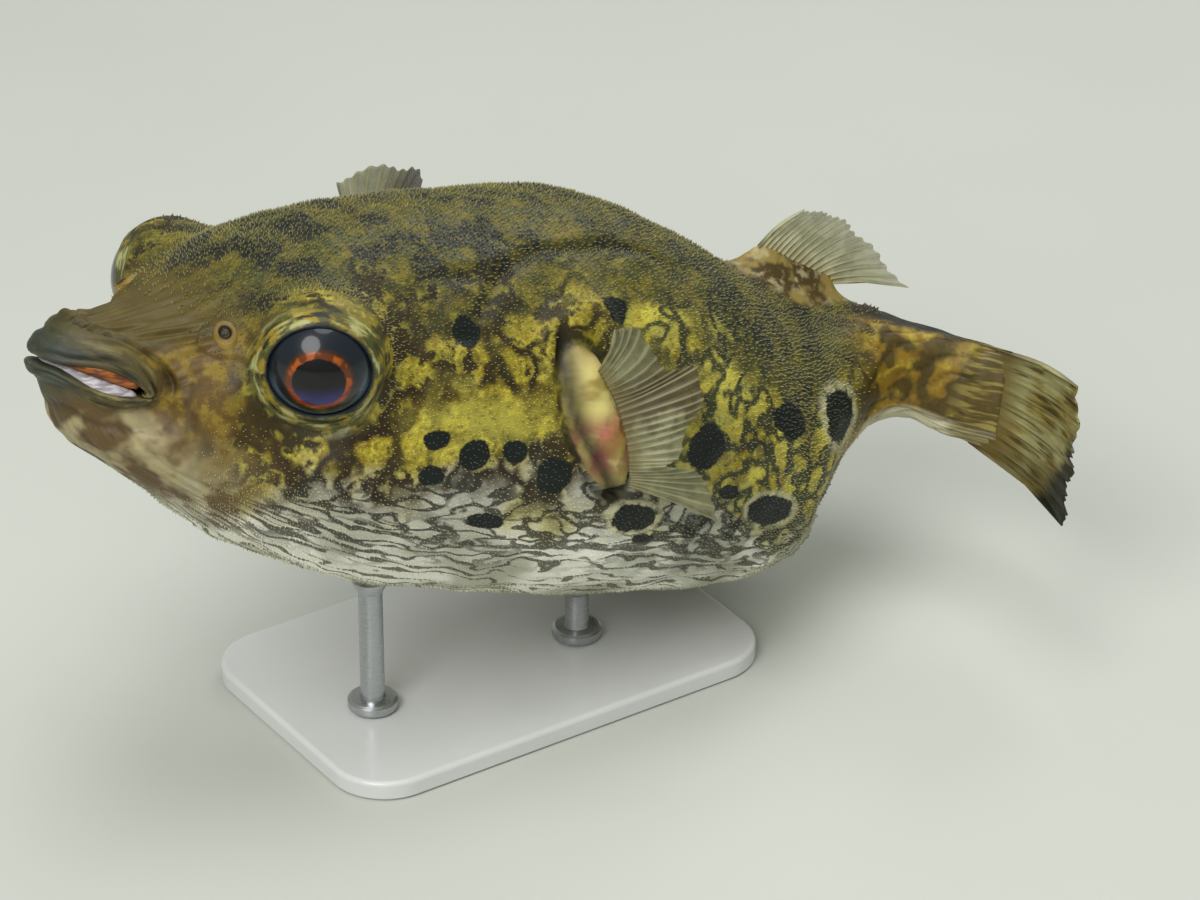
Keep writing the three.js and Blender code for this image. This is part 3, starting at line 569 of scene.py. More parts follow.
def creased(points, normals, base, lobe):
    """The skin with the gill slits, the folds over the shoulders and the moats round the pectoral
    fins' feet pressed in, and how much painted shade each of them gets."""
    dark = np.zeros(lobe.shape)
    for side_line, depth, width, shade in ((GILL_SLIT, 1.2, 0.8, 1.0), (SHOULDER_FOLD, 0.7, 0.9, 0.7)):
        for line in (side_line, mirrored(side_line)):
            gap, t = line_distance(base, line)
            fade = ease(t, 0.0, 0.12) * (1 - ease(t, 0.85, 1.0))
            points = points - (depth * fade * bell(gap, width))[..., None] * normals
            # painted shade along the crease: it darkens the skin's colour there
            dark = np.maximum(dark, shade * fade * bell(gap, width * 1.1))
    moat = bell(lobe - 1.10, 0.09)
    # the moat round each foot gets painted shade as well
    return points - (0.55 * moat)[..., None] * normals, np.maximum(dark, 0.8 * moat)


def skin_surface():
    """The whole skin as a grid of points in the fish's axes, with what its markings need to know."""
    base, rows, w, station = bare_skin()
    left = w < np.pi
    around = np.degrees(np.where(left, column_angle(w), 2 * np.pi - column_angle(w)))
    on_body = ease(rows, MOUTH_ROWS, MOUTH_ROWS + 8)
    mouthward = np.clip((rows - MOUTH_ROWS) / FACE_ROWS, -1, 1)
    normals = grid_normals(base)
    points = base - (COAT_DEPTH * ease(station, 4, 16))[..., None] * normals
    points, lobe, lobe_low, foot_share = with_swellings(points, normals, base, left)
    points, dark = creased(points, normals, base, lobe)

    # folds
    girth = np.radians(around) * 23
    flat = np.stack([station, girth * np.where(left, 1, -1), 0 * girth], -1)
    streak = ripple(flat * [0.16, 1.0, 0], 3.0, 11)
    shoulder = bell(station - 43, 9) * bell(around - 50, 22) * ease(station, 33, 38)
    belly = ease(around, 95, 120) * on_body
    prickly = on_body * ease(station, 15, 24)
    soft = ripple(base, 9.0, 3) * 0.14 + ripple(base, 4.0, 4) * 0.07
    stem = ease(station, 108, 116) * (1 - ease(station, 126, 129))
    folds = np.abs(np.sin((station + girth * 0.42) * 0.62 + 1.1 * ripple(base, 6, 8)))
    snout_fold = ripple(flat * [0.35, 1.5, 0], 3.2, 21) * 0.16 * (1 - ease(station, 13, 22))
    snout_fold = snout_fold * on_body * ease(np.cos(w), 0.1, 0.5)
    press = (shoulder * 0.26 * streak + belly * (0.16 * streak) + prickly * soft
             - stem * 0.20 * (1 - folds) ** 3 + snout_fold)
    lip_t = rows / MOUTH_ROWS + 0.03 * np.sin(w * 5) + 0.02 * np.sin(w * 11 + 1)
    for at, depth, width in LIP_GROOVES:
        groove = depth * bell(lip_t - at, width) * (0.6 + 0.4 * np.sin(w * 3 + at * 20))
        press = press - groove
        # painted shade in the lip's grooves
        dark = np.maximum(dark, 1.3 * groove)
    face_groove = bell(mouthward - 0.10, 0.07) * ease(np.cos(w), -0.2, 0.4)
    press = press - 0.5 * face_groove * (1 - ease(station, 11, 14))
    # painted shade in the groove behind the lips
    dark = np.maximum(dark, 0.7 * face_groove * on_body)
    chin = np.maximum(0, np.sin(mouthward * 16 + 2 * np.cos(w * 2))) ** 2 * ease(-np.cos(w), 0.3, 0.9)
    press = press - 0.28 * chin * bell(mouthward - 0.3, 0.3)
    # painted shade in the folds of the tail stem
    dark = np.maximum(dark, stem * (1 - folds) ** 3 * 0.6)
    eye_gap = np.minimum(*[np.linalg.norm(points - eye_centre(sign), axis=-1) for sign in (-1, 1)])
    calm = ease(eye_gap, 9, 13) * (1 - 0.8 * bell(lobe, 1.0))
    press = press + 0.42 * ripple(base * (1.0, 1.0, 0.45), 2.4, 31) * (1 - ease(lobe, 0.75, 1.0))
    points = points + (press * calm)[..., None] * normals
    for sign in (-1, 1):
        points = with_lids(points, sign)

    lid = np.full(rows.shape, 30.0)
    turn_round = np.zeros(rows.shape)
    for sign in (-1, 1):
        out, turn, up = about_eye(points, sign)
        reach = out + 0.8 * np.maximum(3 - up, 0)
        closer = (reach < lid) & (up > -6)
        turn_round = np.where(closer, turn, turn_round)
        lid = np.where(closer, reach, lid)
    spot, ring = spots(base)
    back_limit, belly_limit = curve(*BACK_LIMIT, station), curve(*BELLY_LIMIT, station)
    # "dark" carries the painted shade of the creases, grooves, moats and folds to the skin's colours
    facts = {
        "along": station, "angle": around, "zone": (around - back_limit) / (belly_limit - back_limit),
        "girth": girth * np.where(left, 1, -1), "spot": spot, "ring": ring, "dark": dark, "lobe": lobe,
        "lobe_low": lobe_low, "lid": lid, "lid_turn": turn_round,
        "lip": np.where(rows < MOUTH_ROWS, rows / MOUTH_ROWS, 1 + mouthward), "crown": np.cos(w),
        "foot": foot_share, "tip": 0 * rows,
    }
    return points, facts


def spots(points):
    """How far points are from the nearest black spot, as a share of its size, and the same for the
    spots with a pale ring. The right flank has the same spots, each a little displaced."""
    rng = np.random.default_rng(5)
    nearest = np.full(points.shape[:-1], 9.0)
    ringed = nearest.copy()
    for sign in (-1, 1):
        for at, around, long, tall, pale in SPOTS:
            shift = rng.uniform(-1, 1, 2) * (sign > 0)
            centre, out, rear = flank(at + 2.2 * shift[0], around + 4 * shift[1], sign)
            local = (points - centre) @ np.stack([rear, np.cross(out, rear), out]).T
            gap = np.linalg.norm(local / (long, tall, 6.0), axis=-1)
            nearest = np.minimum(nearest, gap)
            if pale:
                ringed = np.minimum(ringed, gap)
    return nearest, ringed


SKIN, FACTS = skin_surface()
SKIN_NORMALS = grid_normals(SKIN)


# ---- meshes ------------------------------------------------------------------------------


def turning_grid(rows, columns):
    """Four-sided faces of a grid whose last column meets its first, facing out, with the place of
    each corner on the unrolled grid."""
    r, c = np.meshgrid(np.arange(rows - 1), np.arange(columns), indexing="ij")
    corner_rows = np.stack([r, r, r + 1, r + 1], -1).reshape(-1, 4)
    corner_columns = np.stack([c, c + 1, c + 1, c], -1).reshape(-1, 4)
    faces = corner_rows * columns + corner_columns % columns
    return faces, np.stack([corner_columns / columns, corner_rows / (rows - 1)], -1)


def cap(first, columns, start, total, flip):
    """Closes a ring of points from index `first` on: column j is joined to column total - j, as a
    zip closes, from `start` on over half the ring. Returns the four-sided faces and the end ones."""
    j = np.arange(start, start + columns // 2)
    faces = np.stack([j, j + 1, total - j - 1, total - j], -1) % columns + first
    if flip:
        faces = faces[:, ::-1]
    ends = np.array([[start, start + 1, total - start - 1],
                     [start + columns // 2 - 1, start + columns // 2, total - start - columns // 2 + 1]])
    ends = ends % columns + first
    return faces[1:-1], ends[:, ::-1] if flip else ends


def add_piece(name, points, faces, nodes, material, facts, uv=None, smooth=True):
    """Makes a mesh of points in millimetres in the stand's frame, and hands it to the frame.
    faces is a list of arrays of corners, one array for each number of corners."""
    mesh = bpy.data.meshes.new(name)
    points = np.asarray(points, float).reshape(-1, 3)
    mesh.vertices.add(len(points))
    mesh.vertices.foreach_set("co", (points * MM).astype(np.float32).ravel())
    corners = np.concatenate([f.ravel() for f in faces]).astype(np.int32)
    sizes = np.concatenate([np.full(len(f), f.shape[1]) for f in faces])
    mesh.loops.add(len(corners))
    mesh.loops.foreach_set("vertex_index", corners)
    mesh.polygons.add(len(sizes))
    mesh.polygons.foreach_set("loop_start", np.concatenate([[0], np.cumsum(sizes)[:-1]]).astype(np.int32))
    if uv is not None:
        layer = mesh.uv_layers.new(name="OFBake")
        layer.uv.foreach_set("vector", np.asarray(uv, np.float32).ravel())
    mesh.update(calc_edges=True)
    for key, values in (facts or {}).items():
        attribute = mesh.attributes.new(key, "FLOAT", "POINT")
        attribute.data.foreach_set("value", np.asarray(values, np.float32).ravel())
    mesh.polygons.foreach_set("use_smooth", np.full(len(sizes), smooth))
    mesh.materials.append(material)
    if mesh.validate():
        raise RuntimeError(f"{name} has faces that don't fit together")
    piece = bpy.data.objects.new(name, mesh)
    bpy.context.scene.collection.objects.link(piece)
    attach(piece, "root")
    if nodes:
        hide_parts(*nodes)
    return piece


def strip_uv(faces, first, columns, low, high):
    """A thin strip of the unrolled sheet for a cap's faces."""
    u = ((faces - first) % columns) / columns
    v = np.where(np.arange(faces.shape[1]) < faces.shape[1] / 2, low, high)
    return np.stack([u, v + 0 * u], -1)


SKIN_FINISH = "Air-brushed silicone skin"
SHEET_LOW, SHEET_HIGH = 0.02, 0.98  # the skin's share of its unrolled sheet; the rest is for its caps


def build_skin():
    """The skin: one closed surface from inside the mouth to the root of the tail fin."""
    rows = SKIN.shape[0]
    faces, places = turning_grid(rows, COLUMNS)
    places = places * (1, SHEET_HIGH - SHEET_LOW) + (0, SHEET_LOW)
    last = (rows - 1) * COLUMNS
    mouth_quads, mouth_ends = cap(0, COLUMNS, -COLUMNS // 4, COLUMNS // 2, True)
    tail_quads, tail_ends = cap(last, COLUMNS, 0, COLUMNS, False)
    uv = np.concatenate([
        places.reshape(-1, 2),
        strip_uv(mouth_quads, 0, COLUMNS, 0.0, 0.01).reshape(-1, 2),
        strip_uv(tail_quads, last, COLUMNS, 0.99, 1.0).reshape(-1, 2),
        strip_uv(mouth_ends, 0, COLUMNS, 0.0, 0.01).reshape(-1, 2),
        strip_uv(tail_ends, last, COLUMNS, 0.99, 1.0).reshape(-1, 2),
    ])
    add_piece("skin", to_stand(SKIN), [faces, mouth_quads, tail_quads, mouth_ends, tail_ends],
              ("head", "trunk", "tail_stem", "lip_upper", "lip_lower", "pectoral_foot_left",
               "pectoral_foot_right", "dorsal_foot", "anal_foot"),
              finished(SKIN_FINISH, silicone_skin), FACTS, uv)


def sampled(values, row, column):
    """A grid's value at places between its rows and columns."""
    r, c = np.floor(row).astype(int), np.floor(column).astype(int)
    a, b = row - r, column - c
    r2, c2 = np.minimum(r + 1, values.shape[0] - 1), (c + 1) % COLUMNS
    c = c % COLUMNS
    if values.ndim == 3:
        a, b = a[:, None], b[:, None]
    return mix(mix(values[r, c], values[r, c2], b), mix(values[r2, c], values[r2, c2], b), a)


def prickle_roots(spacing):
    """Places of the prickles: rings spaced along the body, each with as many places as its girth
    has room for, shaken a little, less the bare lips, lids, fin roots and tail stem."""
    rng = np.random.default_rng(17)
    step = np.linalg.norm(np.diff(SKIN, axis=0), axis=-1).mean(1)
    length = np.concatenate([[0], np.cumsum(step)])
    travel = np.arange(length[MOUTH_ROWS + 20], length[-14], spacing * 0.87)
    rings = np.interp(travel, length, np.arange(len(length)))
    gaps = np.linalg.norm(np.roll(SKIN, -1, 1) - SKIN, axis=-1).sum(1)
    counts = np.floor(gaps[rings.astype(int)] / spacing).astype(int)
    ring = np.repeat(np.arange(len(rings)), counts)
    place = np.arange(counts.sum()) - np.repeat(np.cumsum(counts) - counts, counts)
    table = np.linspace(0, 2 * np.pi, 721)
    phi = 2 * np.pi * (place + 0.5 * (ring % 2) + rng.uniform(-0.3, 0.3, len(ring))) / counts[ring]
    w = np.interp(phi % (2 * np.pi), column_angle(table), table)
    column = w / (2 * np.pi) * COLUMNS
    row = np.clip(rings[ring] + rng.uniform(-0.35, 0.35, len(ring)), 0, SKIN.shape[0] - 2)
    facts = {key: sampled(value, row, column) for key, value in FACTS.items()}
    bare = (1 - ease(facts["along"], 12, 20)) + ease(facts["along"], 104, 116)
    bare = bare + (1 - ease(facts["lid"], 8.2, 10.5)) + (1 - ease(facts["lobe"], 1.15, 1.4)) + facts["foot"]
    keep = rng.uniform(0, 1, len(ring)) > bare
    return row[keep], column[keep], {key: value[keep] for key, value in facts.items()}, rng


def build_prickles(spacing, tall):
    """The coat: a small four-sided spine on each root, leaning towards the tail, longest on the back."""
    row, column, facts, rng = prickle_roots(spacing)
    for name, half in (("prickles_left", column < COLUMNS / 2), ("prickles_right", column >= COLUMNS / 2)):
        here = {key: value[half] for key, value in facts.items()}
        build_half(name, row[half], column[half], here, rng, tall)


def build_half(name, row, column, facts, rng, tall):
    """The prickles of one side of the fish."""
    root, out = sampled(SKIN, row, column), unit(sampled(SKIN_NORMALS, row, column))
    rear = unit(sampled(np.gradient(SKIN, axis=0), row, column))
    side = np.cross(out, rear)
    back = 1 - ease(facts["zone"], -0.2, 0.5)
    size = rng.uniform(0.75, 1.25, len(row))
    height = tall * mix(0.70, 1.05, back) * size
    wide = (0.10 + 0.05 * size) * mix(1.0, 1.3, back)
    turn = rng.uniform(0, np.pi / 2, len(row))
    corners = []
    for k in range(4):
        angle = turn + k * np.pi / 2
        corners.append(root - 0.12 * out + (wide * np.cos(angle))[:, None] * rear
                       + (wide * np.sin(angle))[:, None] * side)
    tip = root + height[:, None] * unit(out + 0.45 * rear + 0.15 * rng.normal(size=root.shape))
    points = np.stack(corners + [tip], 1)
    first = np.arange(len(row))[:, None] * 5
    # rear x side points inwards, so the corners run the other way round
    order = np.array([[1, 0, 4], [2, 1, 4], [3, 2, 4], [0, 3, 4]])
    walls = (first[:, :, None] + order[None]).reshape(-1, 3)
    floors = first + np.array([[0, 1, 2, 3]])
    patch = 0.0015 * np.array([[1, 0], [0, 1], [-1, 0], [0, -1], [0, 0]])
    up_sheet = SHEET_LOW + row / (SKIN.shape[0] - 1) * (SHEET_HIGH - SHEET_LOW)
    middle = np.stack([column / COLUMNS, up_sheet], -1)
    places = np.clip(middle[:, None, :] + patch, 0, 1).reshape(-1, 2)
    uv = np.concatenate([places[walls.ravel()], places[floors.ravel()]])
    five = {key: np.repeat(value, 5) for key, value in facts.items()}
    five["tip"] = np.tile([0, 0, 0, 0, 1.0], len(row))
    add_piece(name, to_stand(points.reshape(-1, 3)), [walls, floors], (),
              finished(SKIN_FINISH, silicone_skin), five, uv, False)


# ---- eyes --------------------------------------------------------------------------------


def closed_cap(grid):
    """Faces of a grid of rings whose first and last rings are closed by a middle point each."""
    rings, columns = grid.shape[:2]
    faces, _ = turning_grid(rings, columns)
    points = np.concatenate([grid.reshape(-1, 3), grid[0].mean(0)[None], grid[-1].mean(0)[None]])
    j = np.arange(columns)
    front = np.stack([np.full(columns, rings * columns), (j + 1) % columns, j], -1)
    last = (rings - 1) * columns
    back = np.stack([np.full(columns, rings * columns + 1), last + j, last + (j + 1) % columns], -1)
    return points, faces, np.concatenate([front, back])


def signed_volume(points, quads, triangles):
    """Six times the volume that faces enclose: positive when they point outwards."""
    a, b, c, d = (points[quads[:, k]] for k in range(4))
    total = (np.cross(a, b) * c).sum() + (np.cross(a, c) * d).sum()
    a, b, c = (points[triangles[:, k]] for k in range(3))
    return total + (np.cross(a, b) * c).sum()


def add_closed(name, grid, node, material, facts=None, smooth=True, fish=True):
    """A piece from a grid of rings, closed at both ends and turned so that its faces look out. Each
    fact is a grid of values and the two for the middle points. fish is False for points that are in
    the stand's frame already."""
    points, faces, ends = closed_cap(grid)
    if signed_volume(points - points.mean(0), faces, ends) < 0:
        faces, ends = faces[:, ::-1], ends[:, ::-1]
    values = {key: np.concatenate([on_grid.ravel(), two]) for key, (on_grid, two) in (facts or {}).items()}
    points = to_stand(points) if fish else points
    return add_piece(name, points, [faces, ends], (node,), material, values, smooth=smooth)


def build_eye(sign, name):
    """An eye: a cap of a ball turned about its gaze, from the gaze to LID_END degrees away from it and
    closed behind. It knows how far each place is from the middle of the painted pupil, which stands
    PUPIL_UP above the gaze line."""
    tilt = np.radians(np.linspace(1.0, LID_END, 60))
    turn = np.linspace(0, 2 * np.pi, 96, endpoint=False)
    tilt, turn = np.meshgrid(tilt, turn, indexing="ij")
    across, rise = EYE["radius"] * np.sin(tilt) * np.cos(turn), EYE["radius"] * np.sin(tilt) * np.sin(turn)
    grid = eye_centre(sign) + np.stack([across, rise, EYE["radius"] * np.cos(tilt)], -1) @ eye_axes(sign)
    rise = rise - PUPIL_UP
    facts = {"out": (np.hypot(across, rise), [PUPIL_UP] * 2), "rise": (rise, [-PUPIL_UP] * 2)}
    material = finished("Painted acrylic eyeball", painted_eye)
    add_closed(f"eyeball_{name}", grid, f"eye_{name}", material, facts)


# ---- beak and nostrils -------------------------------------------------------------------


def build_beak():
    """The beak's two bands, just inside the lips: an oval section carried round the mouth's bow."""
    for name, sign, finish, dark, light in (
        ("beak_upper", 1, "Stained upper beak plate", "#5A2A08", "#A85E18"),
        ("beak_lower", -1, "Bone lower beak plate", "#857E82", "#C6BFC4"),
    ):
        w = np.linspace(-1.48, 1.48, 71)
        ring = np.linspace(0, 2 * np.pi, 17)[:-1]
        w, ring = np.meshgrid(w, ring, indexing="ij")
        point, _, out = mouth_line(w)
        taper = np.sqrt(np.maximum(1 - (np.abs(w) / 1.482) ** 12, 0.01))
        tall, deep = (0.9 if sign > 0 else 1.1) * taper, 0.75 * taper
        sides = ease(np.abs(w), 0.35, 0.9)
        middle = mix(1.0, 1.05 if sign > 0 else 0.95, sides)
        height = sign * middle + tall * np.sin(ring) + 0.03 * np.sin(w * 23) * np.sin(w * 9)
        inward = mix(2.4, 1.35, sides) + deep * np.cos(ring)
        grid = point - inward[..., None] * out + height[..., None] * np.array([0, 0, 1.0])
        material = finished(finish, lambda tree: tooth_plate(tree, dark, light))
        add_closed(name + "_band", grid, name, material)


def build_nostrils():
    """A nostril: a short flared tube with a deep opening, its lower lip longer than the upper one."""
    for sign, name in ((-1, "nostril_left"), (1, "nostril_right")):
        foot, out, rear = flank(NOSTRIL["at"], NOSTRIL["around"], sign)
        foot = foot + 0.35 * out
        down = np.cross(rear, out) * -sign
        turn = np.linspace(0, 2 * np.pi, 40, endpoint=False)
        t, turn = np.meshgrid(np.linspace(0, 1, 28), turn, indexing="ij")
        places = np.linspace(0, 1, len(NOSTRIL_SECTION))
        wide, tall = (curve(places, NOSTRIL_SECTION[:, k], t) for k in (0, 1))
        lower = ease(np.cos(turn), -0.4, 1.0)
        tall = tall * (0.75 + 0.50 * lower * (tall > 0))
        wide = NOSTRIL["size"] * wide
        grid = (foot + (wide * 0.90 * np.sin(turn))[..., None] * rear
                + (wide * 1.18 * np.cos(turn))[..., None] * down + tall[..., None] * out)
        material = finished("Painted silicone nostril", silicone_nostril)
        facts = {"depth": (t, [0, 1]), "lower": (lower, [0, 0.5])}
        add_closed(name + "_tube", grid, name, material, facts)


# ---- fins --------------------------------------------------------------------------------


def thin_plate(shape, across, outwards, thickness, name, node, material, rays):
    """A closed fin: the surface shape(u, v), with u across the rays and v from root to tip, given
    the thickness thickness(u, v) about it. It knows both, and where its rays are."""
    u, v = np.meshgrid(np.linspace(0, 1, across), np.linspace(0, 1, outwards), indexing="ij")
    middle = shape(u, v)
    normal = unit(np.cross(np.gradient(middle, axis=0), np.gradient(middle, axis=1)))
    half = thickness(u, v)[..., None] / 2
    front, back = middle + half * normal, middle - half * normal
    # a ring for each u: out along the front and home along the back
    ring = np.concatenate([front, back[:, ::-1]], 1)
    facts = {
        key: (np.concatenate([value, value[:, ::-1]], 1), value[[0, -1], outwards // 2])
        for key, value in (("ray", ray_ridge(u, rays)), ("out", v), ("across", u))
    }
    add_closed(name, ring, node, material, facts)


def ray_ridge(u, rays):
    """1 on the line of each ray and 0 halfway between two."""
    return np.cos(np.pi * u * rays) ** 2


def build_pectoral(sign, rays, name):
    """A pectoral fin: rays fan from an arc along the rear of its foot, each a smooth path to its tip,
    and the membrane between them is thinner and waved."""
    centre, long, wide, out = foot_axes(sign)
    places, count = np.linspace(0, 1, len(rays)), PECTORAL_RAYS

    def shape(u, v):
        place, down, back, off = (curve(places, rays[:, k], u) for k in range(4))
        oval = np.sqrt(np.maximum(0, 1 - (place / (PECTORAL["long"] + 0.6)) ** 2))
        root_back = PECTORAL["wide"] * oval * 0.4
        root_off = PECTORAL["thick"] * oval * 0.9 - PECTORAL["sunk"] + 0.3
        notch = 1 - 0.025 * (1 - ray_ridge(u, count)) * ease(v, 0.5, 1) - 0.03 * np.sin(u * 37) * v
        v = v * notch
        wave = 0.05 * np.sin(np.pi * 2 * count * u + 0.6) * ease(v, 0.1, 0.5)
        wave = wave + 0.50 * np.sin(np.pi * 2 * 2.6 * u + 1.1 * v) * ease(v, 0.2, 0.9)
        return (centre + mix(place, down, v)[..., None] * long + mix(root_back, back, v)[..., None] * wide
                + (mix(root_off, off, v) + 3.2 * v * (1 - v) + wave)[..., None] * out)

    def thickness(u, v):
        ray = ray_ridge(u, count) ** 2
        return mix(0.55, 0.16, v) * (0.55 + 0.40 * ray) * mix(1, 0.55, ease(v, 0.9, 1.0)) + 0.06

    material = finished("Pectoral fin membrane", lambda tree: resin_membrane(tree, False))
    thin_plate(shape, 280, 40, thickness, "fin_" + name, name, material, count)


def build_median(fin, name):
    """The dorsal or anal fin: rays from the top of its muscular foot, leaning back."""
    roots, tips = np.array(fin["roots"]), np.array(fin["tips"])
    places, count = np.linspace(0, 1, len(roots)), fin["rays"]
    turn = float(heading(fin["stand"]))
    origin = axis_at(np.array(fin["stand"]))
    back = np.array([math.cos(turn), -math.sin(turn), 0])
    right = np.array([math.sin(turn), math.cos(turn), 0])

    def shape(u, v):
        root_at, root_up = curve(places, roots[:, 0], u), curve(places, roots[:, 1], u)
        tip_at, tip_up = curve(places, tips[:, 0], u), curve(places, tips[:, 1], u)
        notch = 1 - 0.045 * (1 - ray_ridge(u, count)) * ease(v, 0.4, 1) - 0.03 * np.sin(u * 23) * v
        v = v * notch
        at, up = mix(root_at, tip_at, v), mix(root_up, tip_up, v)
        side = fin["lean"] * v * v + 0.04 * np.sin(2 * np.pi * count * u) * ease(v, 0.1, 0.6)
        deeper = -1.2 * (1 - v) ** 3 * np.sign(fin["top"][1])
        return (origin + (at - fin["stand"])[..., None] * back + side[..., None] * right
                + (up + deeper)[..., None] * np.array([0, 0, 1.0]))

    def thickness(u, v):
        return mix(0.7, 0.14, v) * (0.5 + 0.5 * ray_ridge(u, count) ** 2) + 0.06

    material = finished("Median fin membrane", lambda tree: resin_membrane(tree, True))
    thin_plate(shape, 200, 30, thickness, "fin_" + name, name, material, count)


def build_tail():
    """The tail fin: a rounded fan of nine branching rays whose hind and lower edge is ragged."""
    count = TAIL_FIN["rays"]
    fray_rng = np.random.default_rng(23)
    nick_at = fray_rng.uniform(0.45, 1.0, 14)
    nick_deep = fray_rng.uniform(0.3, 1.1, 14)

    def shape(u, v):
        fray = sum(deep * bell(u - at, 0.010) for at, deep in zip(nick_at, nick_deep))
        fray = fray + 0.35 * (1 - ray_ridge(u, count)) * ease(u, 0.2, 0.5)
        length = TAIL_FIN["length"] - 3.4 * (1 - u) ** 3 - 0.7 * np.sin(u * 19) * v
        length = length - fray * ease(v, 0.75, 1.0)
        flare = mix(0.0, math.radians(-TAIL_FIN["slope"]), u) * (1 - 0.3 * v)
        height = mix(TAIL_FIN["top"], TAIL_FIN["bottom"], u) + length * v * np.sin(flare)
        wave = 0.12 * np.sin(2 * np.pi * count * u) * ease(v, 0.2, 0.8)
        return fish_point(BODY_END + 0.2 + length * v * np.cos(flare), wave, height)

    def thickness(u, v):
        split = ray_ridge(u, count * 2) * ease(v, 0.45, 0.7)
        ray = np.maximum(ray_ridge(u, count) ** 2 * (1 - ease(v, 0.5, 0.8)), split)
        return mix(1.3, 0.16, ease(v, 0, 0.9)) * (0.5 + 0.6 * ray * ease(v, 0.16, 0.35)) + 0.08

    material = finished("Streaked resin tail fin", streaked_resin)
    thin_plate(shape, 260, 60, thickness, "fin_tail", "tail_fin", material, count)


# ---- stand -------------------------------------------------------------------------------


def build_base():
    """The base: a rounded rectangle carried up a profile with eased edges."""
    low, high = (np.array(corner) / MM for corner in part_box("stand_base"))
    middle, half = (low + high) / 2, (high - low) / 2
    corner, soften = 7.0, 0.6
    turn = np.linspace(0, 2 * np.pi, 160, endpoint=False)
    profile = [(0.35, -half[2]), (0, -half[2] + 0.35)]
    for a in np.linspace(np.pi / 2, 0, 7):
        profile.append((soften * (1 - math.sin(a)), half[2] - soften * (1 - math.cos(a))))
    inset, rise = np.array(profile).T
    inset, turn = np.meshgrid(inset, turn, indexing="ij")
    rise = np.repeat(rise[:, None], turn.shape[1], 1)
    round_x = np.sign(np.cos(turn)) * np.maximum(half[0] - corner, 0)
    round_y = np.sign(np.sin(turn)) * np.maximum(half[1] - corner, 0)
    wide = corner - inset
    grid = middle + np.stack([round_x + wide * np.cos(turn), round_y + wide * np.sin(turn), rise], -1)
    material = finished("Pale cast acrylic", cast_acrylic)
    add_closed("stand_plate", grid, "stand_base", material, smooth=False, fish=False)


def build_rods():
    """The rods: turned steel with a collar at the base and a small cup under the belly."""
    for name in ("stand_rod_front", "stand_rod_rear"):
        low, high = (np.array(corner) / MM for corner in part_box(name))
        x, y = (low + high)[:2] / 2
        radius, foot, top = (high - low)[0] / 2, low[2], high[2]
        profile = np.array([
            (0.05, foot), (radius * 1.9, foot), (radius * 2.0, foot + 0.25), (radius * 2.0, foot + 1.0),
            (radius * 1.75, foot + 1.3), (radius * 1.02, foot + 1.35), (radius * 0.96, foot + 1.7),
            (radius * 0.96, top - 2.2), (radius * 1.05, top - 1.9), (radius * 1.35, top - 1.0),
            (radius * 1.45, top - 0.35), (radius * 1.2, top - 0.1), (0.05, top - 0.3),
        ])
        turn = np.linspace(0, 2 * np.pi, 48, endpoint=False)
        wide, turn = np.meshgrid(profile[:, 0], turn, indexing="ij")
        rise = np.repeat(profile[:, 1][:, None], turn.shape[1], 1)
        grid = np.stack([x + wide * np.cos(turn), y + wide * np.sin(turn), rise], -1)
        material = finished("Brushed stainless steel rod", brushed_steel)
        piece = add_closed(name + "_turned", grid, name, material, fish=False)
        piece.data.set_sharp_from_angle(angle=math.radians(35))


# ---- finishes ----------------------------------------------------------------------------

OBJECT, VALUE = 3, 2  # outputs: an object's own coordinates, and the number of an attribute
BELOW, ABOVE, MIXED = 6, 7, 2  # a Mix node's two colour inputs, and its colour output


def linear(code):
    """An sRGB colour code as linear red, green and blue."""
    shares = [int(code[i:i + 2], 16) / 255 for i in (1, 3, 5)]
    return tuple(s / 12.92 if s <= 0.04045 else ((s + 0.055) / 1.055) ** 2.4 for s in shares)


def rgba(code):
    return (*linear(code), 1.0)


def grain(size):
    """The scale of a pattern whose features are `size` millimetres across."""
    return 1 / (size * MM)


def put(tree, kind, inputs=None, out=0, **settings):
    """Adds a node of a kind, with its settings, and its inputs set to values or linked to sockets.
    Returns the output to use next."""
    node = tree.nodes.new("ShaderNode" + kind)
    for key, value in settings.items():
        setattr(node, key, value)
    for key, value in (inputs or {}).items():
        if isinstance(value, bpy.types.NodeSocket):
            tree.links.new(value, node.inputs[key])
        else:
            node.inputs[key].default_value = value
    return node.outputs[out] if len(node.outputs) else None


def finished(name, painted):
    """The material of that name. It is made once: painted(tree) adds its nodes and returns what its
    shader is set to."""
    material = bpy.data.materials.get(name)
    if not material:
        material = bpy.data.materials.new(name)
        material.use_nodes = True
        tree = material.node_tree
        tree.nodes.clear()
        put(tree, "OutputMaterial", {"Surface": put(tree, "BsdfPrincipled", painted(tree))})
    return material


def layered(tree, colour, layers):
    """Layers over a colour. Each has its source, the two values of it between which the layer's share
    goes smoothly from 0 to its most, that most, and the layer's colour."""
    for source, start, end, most, code in layers:
        share = put(tree, "MapRange", {0: source, 1: start, 2: end, 4: most},
                    interpolation_type="SMOOTHSTEP")
        colour = put(tree, "Mix", {0: share, BELOW: colour, ABOVE: rgba(code)}, MIXED, data_type="RGBA")
    return colour


